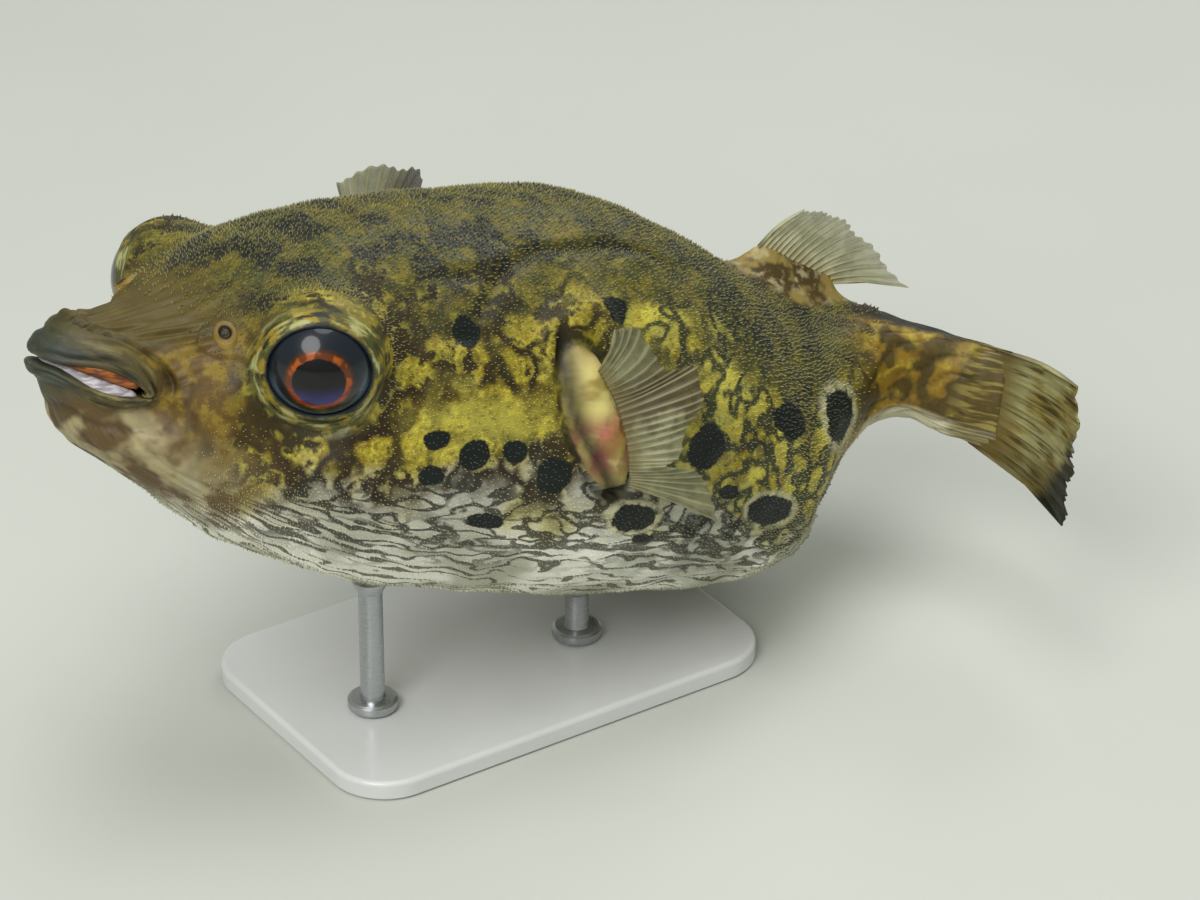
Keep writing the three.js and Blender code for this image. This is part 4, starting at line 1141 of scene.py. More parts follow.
# the skin's noises: where they are read (the skin's own place, or millimetres along and round the
# body, the mouth or an eye), how that is stretched, the size of their features in millimetres,
# their detail and roughness
SKIN_NOISES = (
    ("broad", "place", (1, 1, 1), 11.0, 2, 0.5), ("middling", "place", (1, 1, 1), 4.6, 2.5, 0.5),
    ("small", "place", (1, 1, 1), 1.9, 4, 0.6), ("fine", "place", (1, 1, 1), 0.55, 2, 0.5),
    ("grit", "place", (1, 1, 1), 0.28, 1, 0.5), ("winding", "place", (1, 1, 1), 5.2, 2.0, 0.5),
    ("close", "place", (1, 1, 1), 3.0, 1.5, 0.5), ("streak", "flow", (0.45, 1, 1), 2.4, 2.5, 0.5),
    ("drawn", "flow", (0.42, 1, 1), 2.5, 1.5, 0.5), ("broken", "flow", (0.38, 1, 1), 2.8, 1, 0.5),
    ("bend", "flow", (0.12, 0.20, 1), 1.0, 2.0, 0.5),
    ("crease", "round mouth", (7.0, 0.16, 0.6), 1.0, 3, 0.55),
    ("lid ring", "round eye", (1.0, 1.3, 1), 0.75, 3, 0.55),
)
# The shares of the skin's layers. STEP goes smoothly from 0 to 1, or to the last number, between two
# values. CONTOUR tells how close a noise is to its middle, which winds over the skin as a worm track.
SKIN_SHARES = (
    ("uneven", "ADD", "broad", "middling"), ("uneven", "MULTIPLY_ADD", "uneven", 0.8, -0.8),
    ("small swing", "ADD", "small", -0.5), ("patchy", "MULTIPLY_ADD", "small", 0.4, "middling"),
    # gold and its bright patches
    ("fleck", "STEP", "small", 0.38, 0.58), ("bright", "STEP", "patchy", 0.60, 0.86, 0.85),
    ("speck", "STEP", "fine", 0.54, 0.70, 0.55), ("pit", "STEP", "fine", 0.44, 0.32, 0.45),
    # the change from gold to cream to white
    ("ragged", "MULTIPLY_ADD", "uneven", 0.50, "zone"), ("cream", "STEP", "ragged", 0.70, 0.98),
    ("white", "STEP", "ragged", 0.98, 1.22), ("grey", "STEP", "broad", 0.42, 0.62),
    # the brown net
    ("winding", "CONTOUR", "winding"), ("winding", "STEP", "winding", 0.112, 0.020),
    ("blotch", "ADD", "small", "middling"), ("blotch", "STEP", "blotch", 0.94, 1.11),
    ("net", "MAXIMUM", "winding", "blotch"), ("net end", "STEP", "ragged", 1.05, 0.86, 0.97),
    ("net", "MULTIPLY", "net", "net end"),
    # the brighter band from behind the eye to the gill slit
    ("band", "MULTIPLY_ADD", "uneven", 0.35, "zone"), ("band top", "STEP", "band", 0.42, 0.54),
    ("band", "STEP", "band", 0.80, 0.66), ("band", "MULTIPLY", "band", "band top"),
    ("band end", "STEP", "along", 60.0, 50.0), ("band", "MULTIPLY", "band", "band end"),
    ("band start", "STEP", "along", 31.0, 42.0), ("band", "MULTIPLY", "band", "band start"),
    ("band gaps", "MULTIPLY_ADD", "band", -0.55, 1.0), ("net", "MULTIPLY", "net", "band gaps"),
    ("band", "MULTIPLY", "band", 0.40),
    # the rear flank's closer, blacker net
    ("rear", "MULTIPLY_ADD", "uneven", 26.0, "along"), ("rear", "STEP", "rear", 56.0, 74.0),
    ("close", "CONTOUR", "close"), ("close", "STEP", "close", 0.110, 0.030),
    ("close", "MULTIPLY", "close", "rear"),
    ("close end", "STEP", "ragged", 1.30, 1.05, 0.90), ("close", "MULTIPLY", "close", "close end"),
    ("teal", "STEP", "streak", 0.42, 0.60, 0.30), ("teal", "MULTIPLY", "rear", "teal"),
    ("not rear", "MULTIPLY_ADD", "rear", -0.85, 1.0), ("net", "MULTIPLY", "net", "not rear"),
    # broken dark tracks at the edge of the belly and thin lines along it
    ("drawn", "CONTOUR", "drawn"), ("drawn", "MULTIPLY_ADD", "small swing", 0.16, "drawn"),
    ("drawn", "STEP", "drawn", 0.062, 0.025), ("belly start", "STEP", "ragged", 0.78, 0.95),
    ("belly end", "STEP", "ragged", 1.55, 1.15), ("drawn", "MULTIPLY", "drawn", "belly start"),
    ("drawn", "MULTIPLY", "drawn", "belly end"), ("wave", "MULTIPLY", "girth", 2.9),
    ("wave", "MULTIPLY_ADD", "bend", 30.0, "wave"), ("wave", "SINE", "wave"),
    ("gaps", "ADD", "broken", -0.44),
    ("wave", "MULTIPLY_ADD", "gaps", 2.4, "wave"), ("line", "STEP", "wave", 0.52, 0.92),
    ("line start", "STEP", "zone", 0.94, 1.10), ("line", "MULTIPLY", "line", "line start"),
    ("line", "MAXIMUM", "line", "drawn"), ("line", "MULTIPLY", "line", 0.88),
    ("deep line", "STEP", "zone", 1.9, 1.0),
    # the back
    ("back", "MULTIPLY_ADD", "uneven", 0.9, "zone"), ("back", "STEP", "back", 0.36, -0.10, 0.94),
    ("tan", "STEP", "small", 0.44, 0.64), ("mottle", "STEP", "patchy", 0.66, 0.78),
    ("dust", "STEP", "fine", 0.54, 0.66, 0.4),
    # snout, jaw and lips
    ("snout", "MULTIPLY_ADD", "uneven", 12.0, "along"), ("snout", "STEP", "snout", 22.5, 13.5),
    ("brown patch", "STEP", "middling", 0.50, 0.64, 0.85),
    ("top", "MULTIPLY_ADD", "uneven", 0.6, "crown"),
    ("under", "STEP", "top", -0.20, -0.62), ("top", "STEP", "top", 0.25, 0.80, 0.85),
    ("dapple", "STEP", "middling", 0.43, 0.60), ("front", "STEP", "along", 4.0, -0.5, 0.75),
    ("mouth", "MULTIPLY_ADD", "uneven", 0.22, "lip"), ("mouth", "STEP", "mouth", 1.02, 0.72),
    # painted light on the lips: highlight lines along their folds, and painted shade in the creases between
    # them and on the snout next to the lips ("fold")
    ("fold highlight", "STEP", "crease", 0.50, 0.68), ("fold shade", "STEP", "crease", 0.46, 0.32),
    # "inside": near-black painted shade inside the mouth
    ("inside", "STEP", "lip", 0.42, 0.20), ("fold", "STEP", "lip", 1.7, 1.1, 0.6),
    ("fold", "MULTIPLY", "fold shade", "fold"),
    # lids
    ("pale lid", "STEP", "lid ring", 0.52, 0.68), ("dark lid", "STEP", "lid ring", 0.48, 0.36),
    # "rim": painted shade at the lids' rim and in the socket inside it
    ("gold lid", "STEP", "small", 0.46, 0.62), ("rim", "STEP", "lid", 6.2, 5.7),
    ("lids", "MULTIPLY_ADD", "uneven", 3.0, "lid"), ("lids", "STEP", "lids", 8.9, 7.0),
    # feet of the fins
    ("rosy", "STEP", "lobe_low", -0.25, 0.15), ("rosy end", "STEP", "lobe_low", 0.85, 0.45),
    ("rosy", "MULTIPLY", "rosy", "rosy end"), ("rosy patch", "STEP", "patchy", 0.55, 0.76),
    ("rosy", "MULTIPLY", "rosy", "rosy patch"), ("lobe dots", "STEP", "streak", 0.50, 0.66, 0.75),
    ("lobe shade", "STEP", "lobe", 0.55, 0.98, 0.55),
    ("on lobe", "MULTIPLY_ADD", "small swing", 0.25, "lobe"),
    ("on lobe", "STEP", "on lobe", 1.04, 0.94), ("cream dots", "STEP", "small", 0.50, 0.66, 0.6),
    # tail stem
    ("stem", "MULTIPLY_ADD", "uneven", 10.0, "along"), ("stem", "STEP", "stem", 106.0, 113.0),
    ("stem round", "MULTIPLY_ADD", "uneven", 22.0, "angle"),
    ("stem under", "STEP", "stem round", 108.0, 126.0, 0.92),
    ("stem over", "STEP", "stem round", 22.0, 6.0), ("stem patch", "STEP", "patchy", 0.61, 0.73, 0.9),
    ("stem end", "MULTIPLY_ADD", "uneven", 9.0, "along"),
    ("stem end", "STEP", "stem end", 124.0, 128.0, 0.8),
    ("stem streak", "STEP", "streak", 0.47, 0.60), ("stem streak", "MULTIPLY", "stem streak", "stem end"),
    # spots, creases and prickles
    ("pale ring", "MULTIPLY_ADD", "small swing", 0.8, "ring"),
    ("pale ring", "STEP", "pale ring", 1.50, 1.20),
    ("ring wear", "STEP", "small", 0.30, 0.56, 0.72), ("pale ring", "MULTIPLY", "pale ring", "ring wear"),
    ("spotted", "MULTIPLY_ADD", "small swing", 0.8, "spot"), ("spotted", "STEP", "spotted", 1.08, 0.94),
    ("shade", "MULTIPLY", "dark", 0.9), ("tip share", "STEP", "zone", -0.1, 0.7, 0.22),
    ("tip share", "ADD", "tip share", 0.32), ("tips", "STEP", "tip", 0.25, 0.9),
    ("tips", "MULTIPLY", "tips", "tip share"),
)
# The skin's layers: the stack that is painted, its next colour or another stack, and the share of it.
# A stack starts with a layer that has no share, or as the colour of that name in the add-on's list.
SKIN_LAYERS = (
    ("flank", "#84701A", None), ("flank", "gold", "fleck"), ("flank", "bright_gold", "bright"),
    ("flank", "bright_gold", "speck"), ("flank", "bright_gold", "band"), ("flank", "#4E3A10", "pit"),
    ("under side", "#B5AE78", None), ("under side", "belly", "white"), ("under side", "#B4B3A4", "grey"),
    ("flank", "under side", "cream"), ("flank", "dark_brown", "net"), ("flank", "#45584A", "teal"),
    ("flank", "#17231C", "close"),
    ("lines", "#55503F", None), ("lines", "#1B1A12", "deep line"), ("flank", "lines", "line"),
    ("upper side", "back", None), ("upper side", "#6B5F1E", "tan"), ("upper side", "#171E1A", "mottle"),
    ("upper side", "#857828", "dust"), ("flank", "upper side", "back"),
    ("head", "#5A4416", None), ("head", "#80691F", "tan"), ("head", "#3A2A10", "brown patch"),
    ("head", "#50461C", "top"), ("jaw", "#5E4A2A", None), ("jaw", "#A2966F", "dapple"),
    ("head", "jaw", "under"),
    # painted shade in the creases next to the lips ("fold"), then painted highlight lines and painted shade
    # on the lips' folds
    ("head", "#39412E", "front"), ("head", "#2A2412", "fold"), ("flank", "head", "snout"),
    ("mouth", "lips", None), ("mouth", "#7A7444", "fold highlight"), ("mouth", "#28261A", "fold shade"),
    # painted shade inside the mouth ("inside")
    ("mouth", "#353E36", "front"), ("mouth", "#15120D", "inside"), ("flank", "mouth", "mouth"),
    ("lid", "#4A4A20", None), ("lid", "#8E7A26", "gold lid"), ("lid", "#A5A672", "pale lid"),
    # painted shade at the lids' rim and in the socket ("rim")
    ("lid", "#20241A", "dark lid"), ("lid", "#1A2024", "rim"), ("flank", "lid", "lids"),
    ("fin foot", "lobe", None), ("fin foot", "#B4685A", "rosy"), ("fin foot", "#8A7430", "lobe dots"),
    ("fin foot", "#6B5524", "lobe shade"), ("flank", "fin foot", "on lobe"),
    ("stem", "#86691E", None), ("stem", "#B19C38", "tan"), ("stem", "#3E3214", "stem patch"),
    ("stem", "#C9C4A6", "stem under"), ("stem", "#241E10", "stem over"), ("stem", "#54461C", "stem end"),
    ("stem", "#948643", "stem streak"), ("flank", "stem", "stem"),
    ("median foot", "#8F7C40", None), ("median foot", "#473818", "mottle"),
    ("median foot", "#BDB286", "cream dots"),
    ("flank", "median foot", "foot"),
    ("flank", "#C6C29A", "pale ring"), ("flank", "spots", "spotted"), ("flank", "#14120B", "shade"),
    ("point", "prickles", None), ("point", "#6F7B62", "spotted"), ("flank", "point", "tips"),
)


def silicone_skin(tree):
    """Air-brushed silicone skin of a museum cast: lacquered matt, so it reads as damp fish skin with a
    soft broad sheen. Gold flanks under a net of dark brown, dark back, white belly, black spots."""
    value = {key: put(tree, "Attribute", {}, VALUE, attribute_name=key) for key in FACTS}
    places = {
        "place": put(tree, "TexCoord", out=OBJECT),
        "flow": put(tree, "CombineXYZ", {0: value["along"], 1: value["girth"], 2: 0.0}),
        "round mouth": put(tree, "CombineXYZ", {0: value["lip"], 1: value["girth"], 2: value["crown"]}),
        "round eye": put(tree, "CombineXYZ", {0: value["lid"], 1: value["lid_turn"], 2: 0.0}),
    }
    for name, where, stretch, size, detail, rough in SKIN_NOISES:
        stretched = put(tree, "VectorMath", {0: places[where], 1: stretch}, operation="MULTIPLY")
        scale = grain(size) if where == "place" else 1 / size
        settings = {"Vector": stretched, "Scale": scale, "Detail": detail, "Roughness": rough}
        value[name] = put(tree, "TexNoise", settings)
    for name, work, first, *rest in SKIN_SHARES:
        if work == "STEP":
            start, end, most = (*rest, 1.0)[:3]
            value[name] = put(tree, "MapRange", {0: value[first], 1: start, 2: end, 4: most},
                              interpolation_type="SMOOTHSTEP")
        elif work == "CONTOUR":
            middle = put(tree, "Math", {0: value[first], 1: -0.5}, operation="ADD")
            value[name] = put(tree, "Math", {0: middle}, operation="ABSOLUTE")
        else:
            others = {1 + k: value.get(item, item) for k, item in enumerate(rest)}
            value[name] = put(tree, "Math", {0: value[first], **others}, operation=work)
    colours = bpy.context.scene.pufferfish_colours
    stacks = {key: (*getattr(colours, key), 1) for key in colours.__annotations__}
    for stack, top, share in SKIN_LAYERS:
        paint = stacks[top] if top in stacks else rgba(top)
        if share:
            settings = {0: value[share], BELOW: stacks[stack], ABOVE: paint}
            paint = put(tree, "Mix", settings, MIXED, data_type="RGBA")
        stacks[stack] = paint
    roughness = put(tree, "MapRange", {0: value["small"], 1: 0.3, 2: 0.7, 3: 0.40, 4: 0.58})
    height = put(tree, "Math", {0: value["fine"], 1: value["grit"]}, operation="ADD")
    normal = put(tree, "Bump", {"Strength": 0.35, "Distance": 0.06 * MM, "Height": height})
    return {"Base Color": stacks["flank"], "Roughness": roughness, "Normal": normal, "IOR": 1.41,
            "Specular IOR Level": 0.42}


def painted_eye(tree):
    """Painted and lacquered acrylic eye: black pupil with a painted blue sheen below, a ring of red
    gold round it and dark slate out to the lids, with a paler arc of painted light on its lower side
    and painted shade at its edge under the lids."""
    out, rise = (put(tree, "Attribute", {}, VALUE, attribute_name=key) for key in ("out", "rise"))
    place = put(tree, "TexCoord", out=OBJECT)
    fine = put(tree, "TexNoise", {"Vector": place, "Scale": grain(0.6), "Detail": 3.0})
    glow = put(tree, "TexNoise", {"Vector": place, "Scale": grain(1.8), "Detail": 2.0})
    shift = put(tree, "Math", {0: fine, 1: 0.28, 2: -0.14}, operation="MULTIPLY_ADD")
    edge = put(tree, "Math", {0: out, 1: shift}, operation="ADD")
    shares = {"glow": glow}
    # places are mm out from the middle of the dome, or up it
    for name, source, start, end in (
        ("low", rise, 0.8, -2.4), ("iris", edge, 2.88, 3.06), ("brown rim", edge, 3.45, 3.75),
        # the paler arc on the lower side is painted light, and the darkest ring at the edge under the lids
        # is painted shade
        ("slate", edge, 3.72, 4.05), ("arc", edge, 4.50, 5.00), ("shade under lids", edge, 5.7, 6.1),
        # the blue on the lower part of the pupil is a painted sheen
        ("blue sheen", rise, -0.1, -2.2), ("glint", glow, 0.52, 0.62),
    ):
        settings = {0: source, 1: start, 2: end}
        shares[name] = put(tree, "MapRange", settings, interpolation_type="SMOOTHSTEP")
    for name, first, second in (
        ("blue sheen", "blue sheen", "glow"), ("arc", "arc", "low"), ("glint", "glint", "iris"),
        ("red", "low", "iris"), ("red", "red", "glow"),
    ):
        shares[name] = put(tree, "Math", {0: shares[first], 1: shares[second]}, operation="MULTIPLY")
    colour = rgba("#060707")
    for code, share in (
        # painted sheen, painted light and painted shade are among these colours: the blue, the paler arc and
        # the darkest rim
        ("#2E2674", "blue sheen"), ("#5A2C10", "iris"), ("#A04E16", "glint"), ("#94301A", "red"),
        ("#38200E", "brown rim"), ("#141C24", "slate"), ("#46596A", "arc"), ("#12181A", "shade under lids"),
    ):
        settings = {0: shares[share], BELOW: colour, ABOVE: rgba(code)}
        colour = put(tree, "Mix", settings, MIXED, data_type="RGBA")
    normal = put(tree, "Bump", {"Strength": 0.10, "Distance": 0.08 * MM, "Height": fine})
    return {"Base Color": colour, "Roughness": 0.35, "IOR": 1.49, "Specular IOR Level": 0.15,
            "Normal": normal, "Coat Weight": 1.0, "Coat Roughness": 0.09, "Coat IOR": 1.33}


def tooth_plate(tree, dark, light):
    """Glazed ceramic-like tooth plate, bone with a lilac cast or stained orange brown, scuffed
    lengthwise at the biting edge."""
    place = put(tree, "TexCoord", out=OBJECT)
    stretched = put(tree, "VectorMath", {0: place, 1: (0.5, 0.5, 2.4)}, operation="MULTIPLY")
    grainy = put(tree, "TexNoise", {"Vector": stretched, "Scale": grain(0.9), "Detail": 4.0})
    colour = layered(tree, rgba(dark), [(grainy, 0.36, 0.62, 1.0, light)])
    fine = put(tree, "TexNoise", {"Vector": place, "Scale": grain(0.25), "Detail": 2.0})
    normal = put(tree, "Bump", {"Strength": 0.3, "Distance": 0.06 * MM, "Height": fine})
    return {"Base Color": colour, "Roughness": 0.38, "IOR": 1.54, "Normal": normal}


def silicone_nostril(tree):
    """Painted silicone tube: gold brown like the skin round it, paler on its lower flap, with painted shade
    darkening down into its opening.
    """
    depth, lower = (put(tree, "Attribute", {}, VALUE, attribute_name=key) for key in ("depth", "lower"))
    place = put(tree, "TexCoord", out=OBJECT)
    noise = put(tree, "TexNoise", {"Vector": place, "Scale": grain(0.6), "Detail": 3.0})
    wall = put(tree, "Mix", {0: noise, BELOW: rgba("#6A5218"), ABOVE: rgba("#937C30")}, MIXED,
               data_type="RGBA")
    flap = put(tree, "Mix", {0: lower, BELOW: wall, ABOVE: rgba("#A68D48")}, MIXED,
               data_type="RGBA")
    # painted shade down the opening: darker, then near black
    colour = layered(tree, flap, [(depth, 0.30, 0.45, 1.0, "#6E5A24"), (depth, 0.50, 0.66, 1.0, "#2B2110")])
    normal = put(tree, "Bump", {"Strength": 0.3, "Distance": 0.08 * MM, "Height": noise})
    return {"Base Color": colour, "Roughness": 0.45, "IOR": 1.41, "Normal": normal}


def resin_membrane(tree, median):
    """Thin tinted resin over cast rays: it lets some light through between the rays, which show as
    slightly paler lines. A pectoral fin has a dark brown band across its middle; a median fin is
    paler and clearer."""
    ray, out, across = (
        put(tree, "Attribute", {}, VALUE, attribute_name=key) for key in ("ray", "out", "across")
    )
    place = put(tree, "TexCoord", out=OBJECT)
    noise = put(tree, "TexNoise", {"Vector": place, "Scale": grain(1.8), "Detail": 4.0})
    lines = put(tree, "CombineXYZ", {0: out, 1: across, 2: 0.0})
    lines = put(tree, "VectorMath", {0: lines, 1: (2.0, 60.0, 1.0)}, operation="MULTIPLY")
    streak = put(tree, "TexNoise", {"Vector": lines, "Scale": 1.0, "Detail": 2.0})
    swing = put(tree, "Math", {0: noise, 1: 0.30, 2: -0.49}, operation="MULTIPLY_ADD")
    band = put(tree, "Math", {0: across, 1: swing}, operation="ADD")
    band = put(tree, "Math", {0: band}, operation="ABSOLUTE")
    ground, patch, pale, on_rays, root = (
        ("#8E8E6A", "#AFAE8A", "#C6C4A0", "#CFCCA8", "#8C7C48") if median else
        ("#6E6E4E", "#8C8A66", "#A29E78", "#A8A37C", "#6E6034")
    )
    colour = layered(tree, rgba(ground), (
        (noise, 0.40, 0.62, 0.8, patch), (streak, 0.50, 0.66, 0.5, pale),
        (band, 0.20, 0.09, 0.0 if median else 0.75, "#453419"), (ray, 0.80, 1.0, 0.45, on_rays),
        (out, 0.30, 0.05, 0.5, root),
    ))
    clear = put(tree, "MapRange", {0: out, 1: 0.0, 2: 1.0, 3: 1.0, 4: 0.50 if median else 0.62})
    on_ray = put(tree, "MapRange", {0: ray, 1: 0.7, 2: 1.0, 4: 0.20})
    solid = put(tree, "Math", {0: clear, 1: on_ray}, operation="ADD", use_clamp=True)
    normal = put(tree, "Bump", {"Strength": 0.3, "Distance": 0.08 * MM, "Height": streak})
    return {"Base Color": colour, "Roughness": 0.45, "IOR": 1.45, "Alpha": solid, "Normal": normal}


def streaked_resin(tree):
    """Tinted resin tail fin: brown and cream streaks along the rays, black towards the torn hind edge."""
    ray, out, across = (
        put(tree, "Attribute", {}, VALUE, attribute_name=key) for key in ("ray", "out", "across")
    )
    lines = put(tree, "CombineXYZ", {0: out, 1: across, 2: 0.0})
    lines = put(tree, "VectorMath", {0: lines, 1: (2.6, 24.0, 1.0)}, operation="MULTIPLY")
    streak = put(tree, "TexNoise", {"Vector": lines, "Scale": 1.0, "Detail": 4.0, "Roughness": 0.6})
    place = put(tree, "TexCoord", out=OBJECT)
    broad = put(tree, "TexNoise", {"Vector": place, "Scale": grain(7.0), "Detail": 2.0})
    ragged = put(tree, "Math", {0: streak, 1: 0.55}, operation="MULTIPLY")
    edge = put(tree, "Math", {0: across, 1: 0.62}, operation="MULTIPLY")
    edge = put(tree, "Math", {0: edge, 1: out}, operation="ADD")
    edge = put(tree, "Math", {0: edge, 1: ragged}, operation="ADD")
    lower = put(tree, "Math", {0: across, 1: ragged}, operation="ADD")
    colour = layered(tree, rgba("#5E5020"), (
        (streak, 0.42, 0.60, 0.85, "#8C8048"), (broad, 0.45, 0.60, 0.6, "#9A9A6C"),
        (streak, 0.56, 0.70, 0.8, "#B4B28A"), (streak, 0.46, 0.36, 0.8, "#33280F"),
        (ray, 0.86, 1.0, 0.35, "#A8A070"), (lower, 0.90, 1.22, 0.55, "#3A3018"),
        (out, 0.36, 0.16, 0.80, "#5E4E20"), (edge, 1.42, 1.60, 0.95, "#12170F"),
    ))
    normal = put(tree, "Bump", {"Strength": 0.4, "Distance": 0.15 * MM, "Height": streak})
    return {"Base Color": colour, "Roughness": 0.45, "IOR": 1.45, "Normal": normal}


def cast_acrylic(tree):
    """Sheet acrylic, cast and flame-polished at its edges: pale grey, smooth, with a clear reflection."""
    place = put(tree, "TexCoord", out=OBJECT)
    noise = put(tree, "TexNoise", {"Vector": place, "Scale": grain(12.0), "Detail": 3.0})
    colour = put(tree, "Mix", {0: noise, BELOW: rgba("#D4D6D4"), ABOVE: rgba("#DFE0DE")}, MIXED,
                 data_type="RGBA")
    roughness = put(tree, "MapRange", {0: noise, 1: 0.3, 2: 0.7, 3: 0.16, 4: 0.26})
    return {"Base Color": colour, "Roughness": roughness, "IOR": 1.49}


def brushed_steel(tree):
    """Turned and brushed stainless steel: fine rings round the rod blur its reflection."""
    place = put(tree, "TexCoord", out=OBJECT)
    place = put(tree, "VectorMath", {0: place, 1: (0.05, 0.05, 1.0)}, operation="MULTIPLY")
    rings = put(tree, "TexNoise", {"Vector": place, "Scale": grain(0.12), "Detail": 2.0})
    colour = put(tree, "Mix", {0: rings, BELOW: rgba("#B4B7B9"), ABOVE: rgba("#C2C4C6")}, MIXED,
                 data_type="RGBA")
    roughness = put(tree, "MapRange", {0: rings, 1: 0.3, 2: 0.7, 3: 0.24, 4: 0.38})
    normal = put(tree, "Bump", {"Strength": 0.08, "Distance": 0.01 * MM, "Height": rings})
    return {"Base Color": colour, "Roughness": roughness, "Metallic": 1.0, "Normal": normal}


def matt_board(tree):
    """Matt painted board: pale, with a slight unevenness."""
    place = put(tree, "TexCoord", out=OBJECT)
    noise = put(tree, "TexNoise", {"Vector": place, "Scale": grain(60.0), "Detail": 3.0})
    colour = put(tree, "Mix", {0: noise, BELOW: rgba("#C0C3BB"), ABOVE: rgba("#C7CAC2")}, MIXED,
                 data_type="RGBA")
    return {"Base Color": colour, "Roughness": 0.9}


# ---- stage -------------------------------------------------------------------------------

FAR = 0.6  # metres from what they are aimed at to the lamps and the camera
# name, azimuth and elevation in degrees, width in metres, watts
LAMPS = (("key lamp", -58, 44, 0.36, 2.3), ("top lamp", 10, 84, 0.40, 1.5), ("rim lamp", 120, 40, 0.30, 0.8))
LAMPS_AIM = (0.0, 0.0, 0.035)
CAMERA_AIM, CAMERA_ANGLES, CAMERA_LENS = (0.016, 0, 0.0246), (-34, 30), 151.2
WORLD_LIGHT = 0.42
FLOOR_REACH = 1.6  # metres from the middle to each side


def build_stage():
    """The floor, three soft lamps, an even pale world and the camera."""
    mesh = bpy.data.meshes.new("floor")
    corners = [(x * FLOOR_REACH, y * FLOOR_REACH, 0) for x, y in ((-1, -1), (1, -1), (1, 1), (-1, 1))]
    mesh.from_pydata(corners, [], [(0, 1, 2, 3)])
    mesh.materials.append(finished("Pale matt board", matt_board))
    floor = bpy.data.objects.new("floor", mesh)
    bpy.context.scene.collection.objects.link(floor)
    world = bpy.data.worlds.new("soft room")
    world.use_nodes = True
    light = world.node_tree.nodes["Background"].inputs
    light["Color"].default_value, light["Strength"].default_value = rgba("#EEF1EA"), WORLD_LIGHT
    bpy.context.scene.world = world
    bpy.context.scene.view_settings.view_transform = "Standard"
    for name, azimuth, elevation, size, power in LAMPS:
        lamp = bpy.data.lights.new(name, "AREA")
        lamp.shape, lamp.size, lamp.energy = "DISK", size, power
        hold(lamp, LAMPS_AIM, azimuth, elevation)
    camera = bpy.data.cameras.new("camera")
    camera.lens, camera.sensor_width, camera.sensor_fit = CAMERA_LENS, 36.0, "HORIZONTAL"
    camera.clip_start, camera.clip_end = 0.01, 20.0
    bpy.context.scene.camera = hold(camera, CAMERA_AIM, *CAMERA_ANGLES)


def hold(data, aim, azimuth, elevation):
    """Hangs a lamp or the camera at its distance from the point that it is aimed at: an azimuth of 0
    degrees is towards -Y, and it grows towards +X."""
    a, e = math.radians(azimuth), math.radians(elevation)
    back = np.array([math.sin(a) * math.cos(e), -math.cos(a) * math.cos(e), math.sin(e)])
    place = np.array(aim) + back * FAR
    right = unit(np.cross([0, 0, 1], back))
    up = np.cross(back, right)
    holder = bpy.data.objects.new(data.name, data)
    bpy.context.scene.collection.objects.link(holder)
    holder.matrix_world = Matrix([[right[k], up[k], back[k], place[k]] for k in range(3)] + [[0, 0, 0, 1]])
    return holder


# ---- add-on ------------------------------------------------------------------------------


def colour(name, description, code):
    """A colour that a user can change, with its default."""
    return FloatVectorProperty(name=name, description=description, subtype="COLOR", size=3, min=0, max=1,
                               default=linear(code))


class PufferfishColours(bpy.types.PropertyGroup):
    """Colours of the skin."""

    gold: colour("Gold", "Ground colour of the flanks", "#A39426")
    bright_gold: colour("Bright gold", "Lightest patches of the flanks", "#D8CE54")
    dark_brown: colour("Dark brown", "Net of markings over the gold", "#231507")
    back: colour("Back", "Colour of the back", "#3E4220")
    belly: colour("Belly", "Colour of the belly", "#EEEDE2")
    spots: colour("Spots", "Colour of the large dark spots", "#0F1612")
    lips: colour("Lips", "Colour of the lips", "#4C4426")
    lobe: colour("Fin feet", "Colour of the fleshy feet of the pectoral fins", "#C9BC72")
    prickles: colour("Prickle tips", "Colour of the prickles' tips", "#DAD49A")


class PufferfishSizes(bpy.types.PropertyGroup):
    """Sizes of the coat."""

    spacing: FloatProperty(name="Prickle spacing", description="Distance from one prickle to the next",
                           default=0.62 * MM, min=0.5 * MM, max=3 * MM, subtype="DISTANCE",
                           unit="LENGTH", precision=5)
    tall: FloatProperty(name="Prickle height", description="Height of a prickle on the back",
                        default=0.36 * MM, min=0.1 * MM, max=1 * MM, subtype="DISTANCE",
                        unit="LENGTH", precision=5)


class PUFFERFISH_OT_skin(bpy.types.Operator):
    """Build the skin from the lips to the tail"""

    bl_idname = "pufferfish.skin"
    bl_label = "Skin"

    def execute(self, context):
        build_skin()
        return {"FINISHED"}


class PUFFERFISH_OT_prickles(bpy.types.Operator):
    """Cover the skin with prickles"""

    bl_idname = "pufferfish.prickles"
    bl_label = "Prickles"

    def execute(self, context):
        sizes = context.scene.pufferfish_sizes
        build_prickles(sizes.spacing / MM, sizes.tall / MM)
        return {"FINISHED"}


class PUFFERFISH_OT_eyes(bpy.types.Operator):
    """Build both eyes"""

    bl_idname = "pufferfish.eyes"
    bl_label = "Eyes"

    def execute(self, context):
        build_eye(-1, "left")
        build_eye(1, "right")
        return {"FINISHED"}


class PUFFERFISH_OT_beak(bpy.types.Operator):
    """Build the two plates of the beak"""

    bl_idname = "pufferfish.beak"
    bl_label = "Beak"

    def execute(self, context):
        build_beak()
        return {"FINISHED"}


class PUFFERFISH_OT_nostrils(bpy.types.Operator):
    """Build both nostrils"""

    bl_idname = "pufferfish.nostrils"
    bl_label = "Nostrils"

    def execute(self, context):
        build_nostrils()
        return {"FINISHED"}


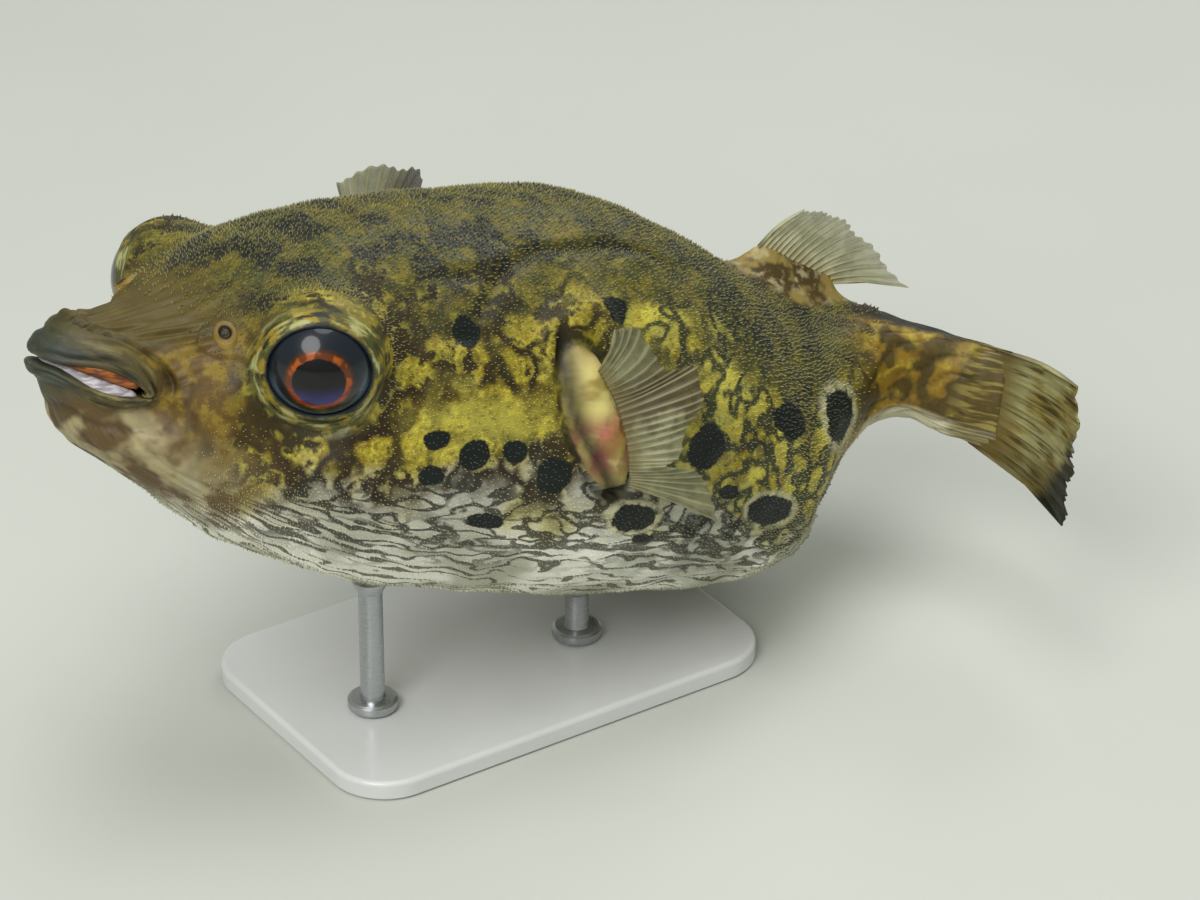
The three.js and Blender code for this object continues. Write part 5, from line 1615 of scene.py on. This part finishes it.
class PUFFERFISH_OT_fins(bpy.types.Operator):
    """Build the pectoral, dorsal, anal and tail fins"""

    bl_idname = "pufferfish.fins"
    bl_label = "Fins"

    def execute(self, context):
        build_pectoral(-1, LEFT_RAYS, "pectoral_fin_left")
        build_pectoral(1, RIGHT_RAYS, "pectoral_fin_right")
        build_median(DORSAL, "dorsal_fin")
        build_median(ANAL, "anal_fin")
        build_tail()
        return {"FINISHED"}


class PUFFERFISH_OT_stand(bpy.types.Operator):
    """Build the display stand"""

    bl_idname = "pufferfish.stand"
    bl_label = "Stand"

    def execute(self, context):
        build_base()
        build_rods()
        return {"FINISHED"}


class PUFFERFISH_OT_stage(bpy.types.Operator):
    """Build the floor, the lamps and the camera"""

    bl_idname = "pufferfish.stage"
    bl_label = "Stage"

    def execute(self, context):
        build_stage()
        return {"FINISHED"}


STEPS = ("skin", "prickles", "eyes", "beak", "nostrils", "fins", "stand", "stage")


class PUFFERFISH_PT_panel(bpy.types.Panel):
    """Lists the steps and the values that they use"""

    bl_idname = "PUFFERFISH_PT_panel"
    bl_label = "Humpback Pufferfish"
    bl_space_type = "VIEW_3D"
    bl_region_type = "UI"
    bl_category = "Pufferfish"

    def draw(self, context):
        for group in (context.scene.pufferfish_sizes, context.scene.pufferfish_colours):
            column = self.layout.column()
            for name in group.__annotations__:
                column.prop(group, name)
        for step in STEPS:
            self.layout.operator("pufferfish." + step)


CLASSES = (
    PufferfishColours, PufferfishSizes, PUFFERFISH_OT_skin, PUFFERFISH_OT_prickles, PUFFERFISH_OT_eyes,
    PUFFERFISH_OT_beak, PUFFERFISH_OT_nostrils, PUFFERFISH_OT_fins, PUFFERFISH_OT_stand, PUFFERFISH_OT_stage,
    PUFFERFISH_PT_panel,
)


def register():
    for item in CLASSES:
        bpy.utils.register_class(item)
    bpy.types.Scene.pufferfish_colours = PointerProperty(type=PufferfishColours)
    bpy.types.Scene.pufferfish_sizes = PointerProperty(type=PufferfishSizes)


def unregister():
    del bpy.types.Scene.pufferfish_sizes
    del bpy.types.Scene.pufferfish_colours
    for item in reversed(CLASSES):
        bpy.utils.unregister_class(item)


def main():
    """Runs the steps in order."""
    register()
    for step in STEPS:
        getattr(bpy.ops.pufferfish, step)()


if __name__ == "__main__":
    main()
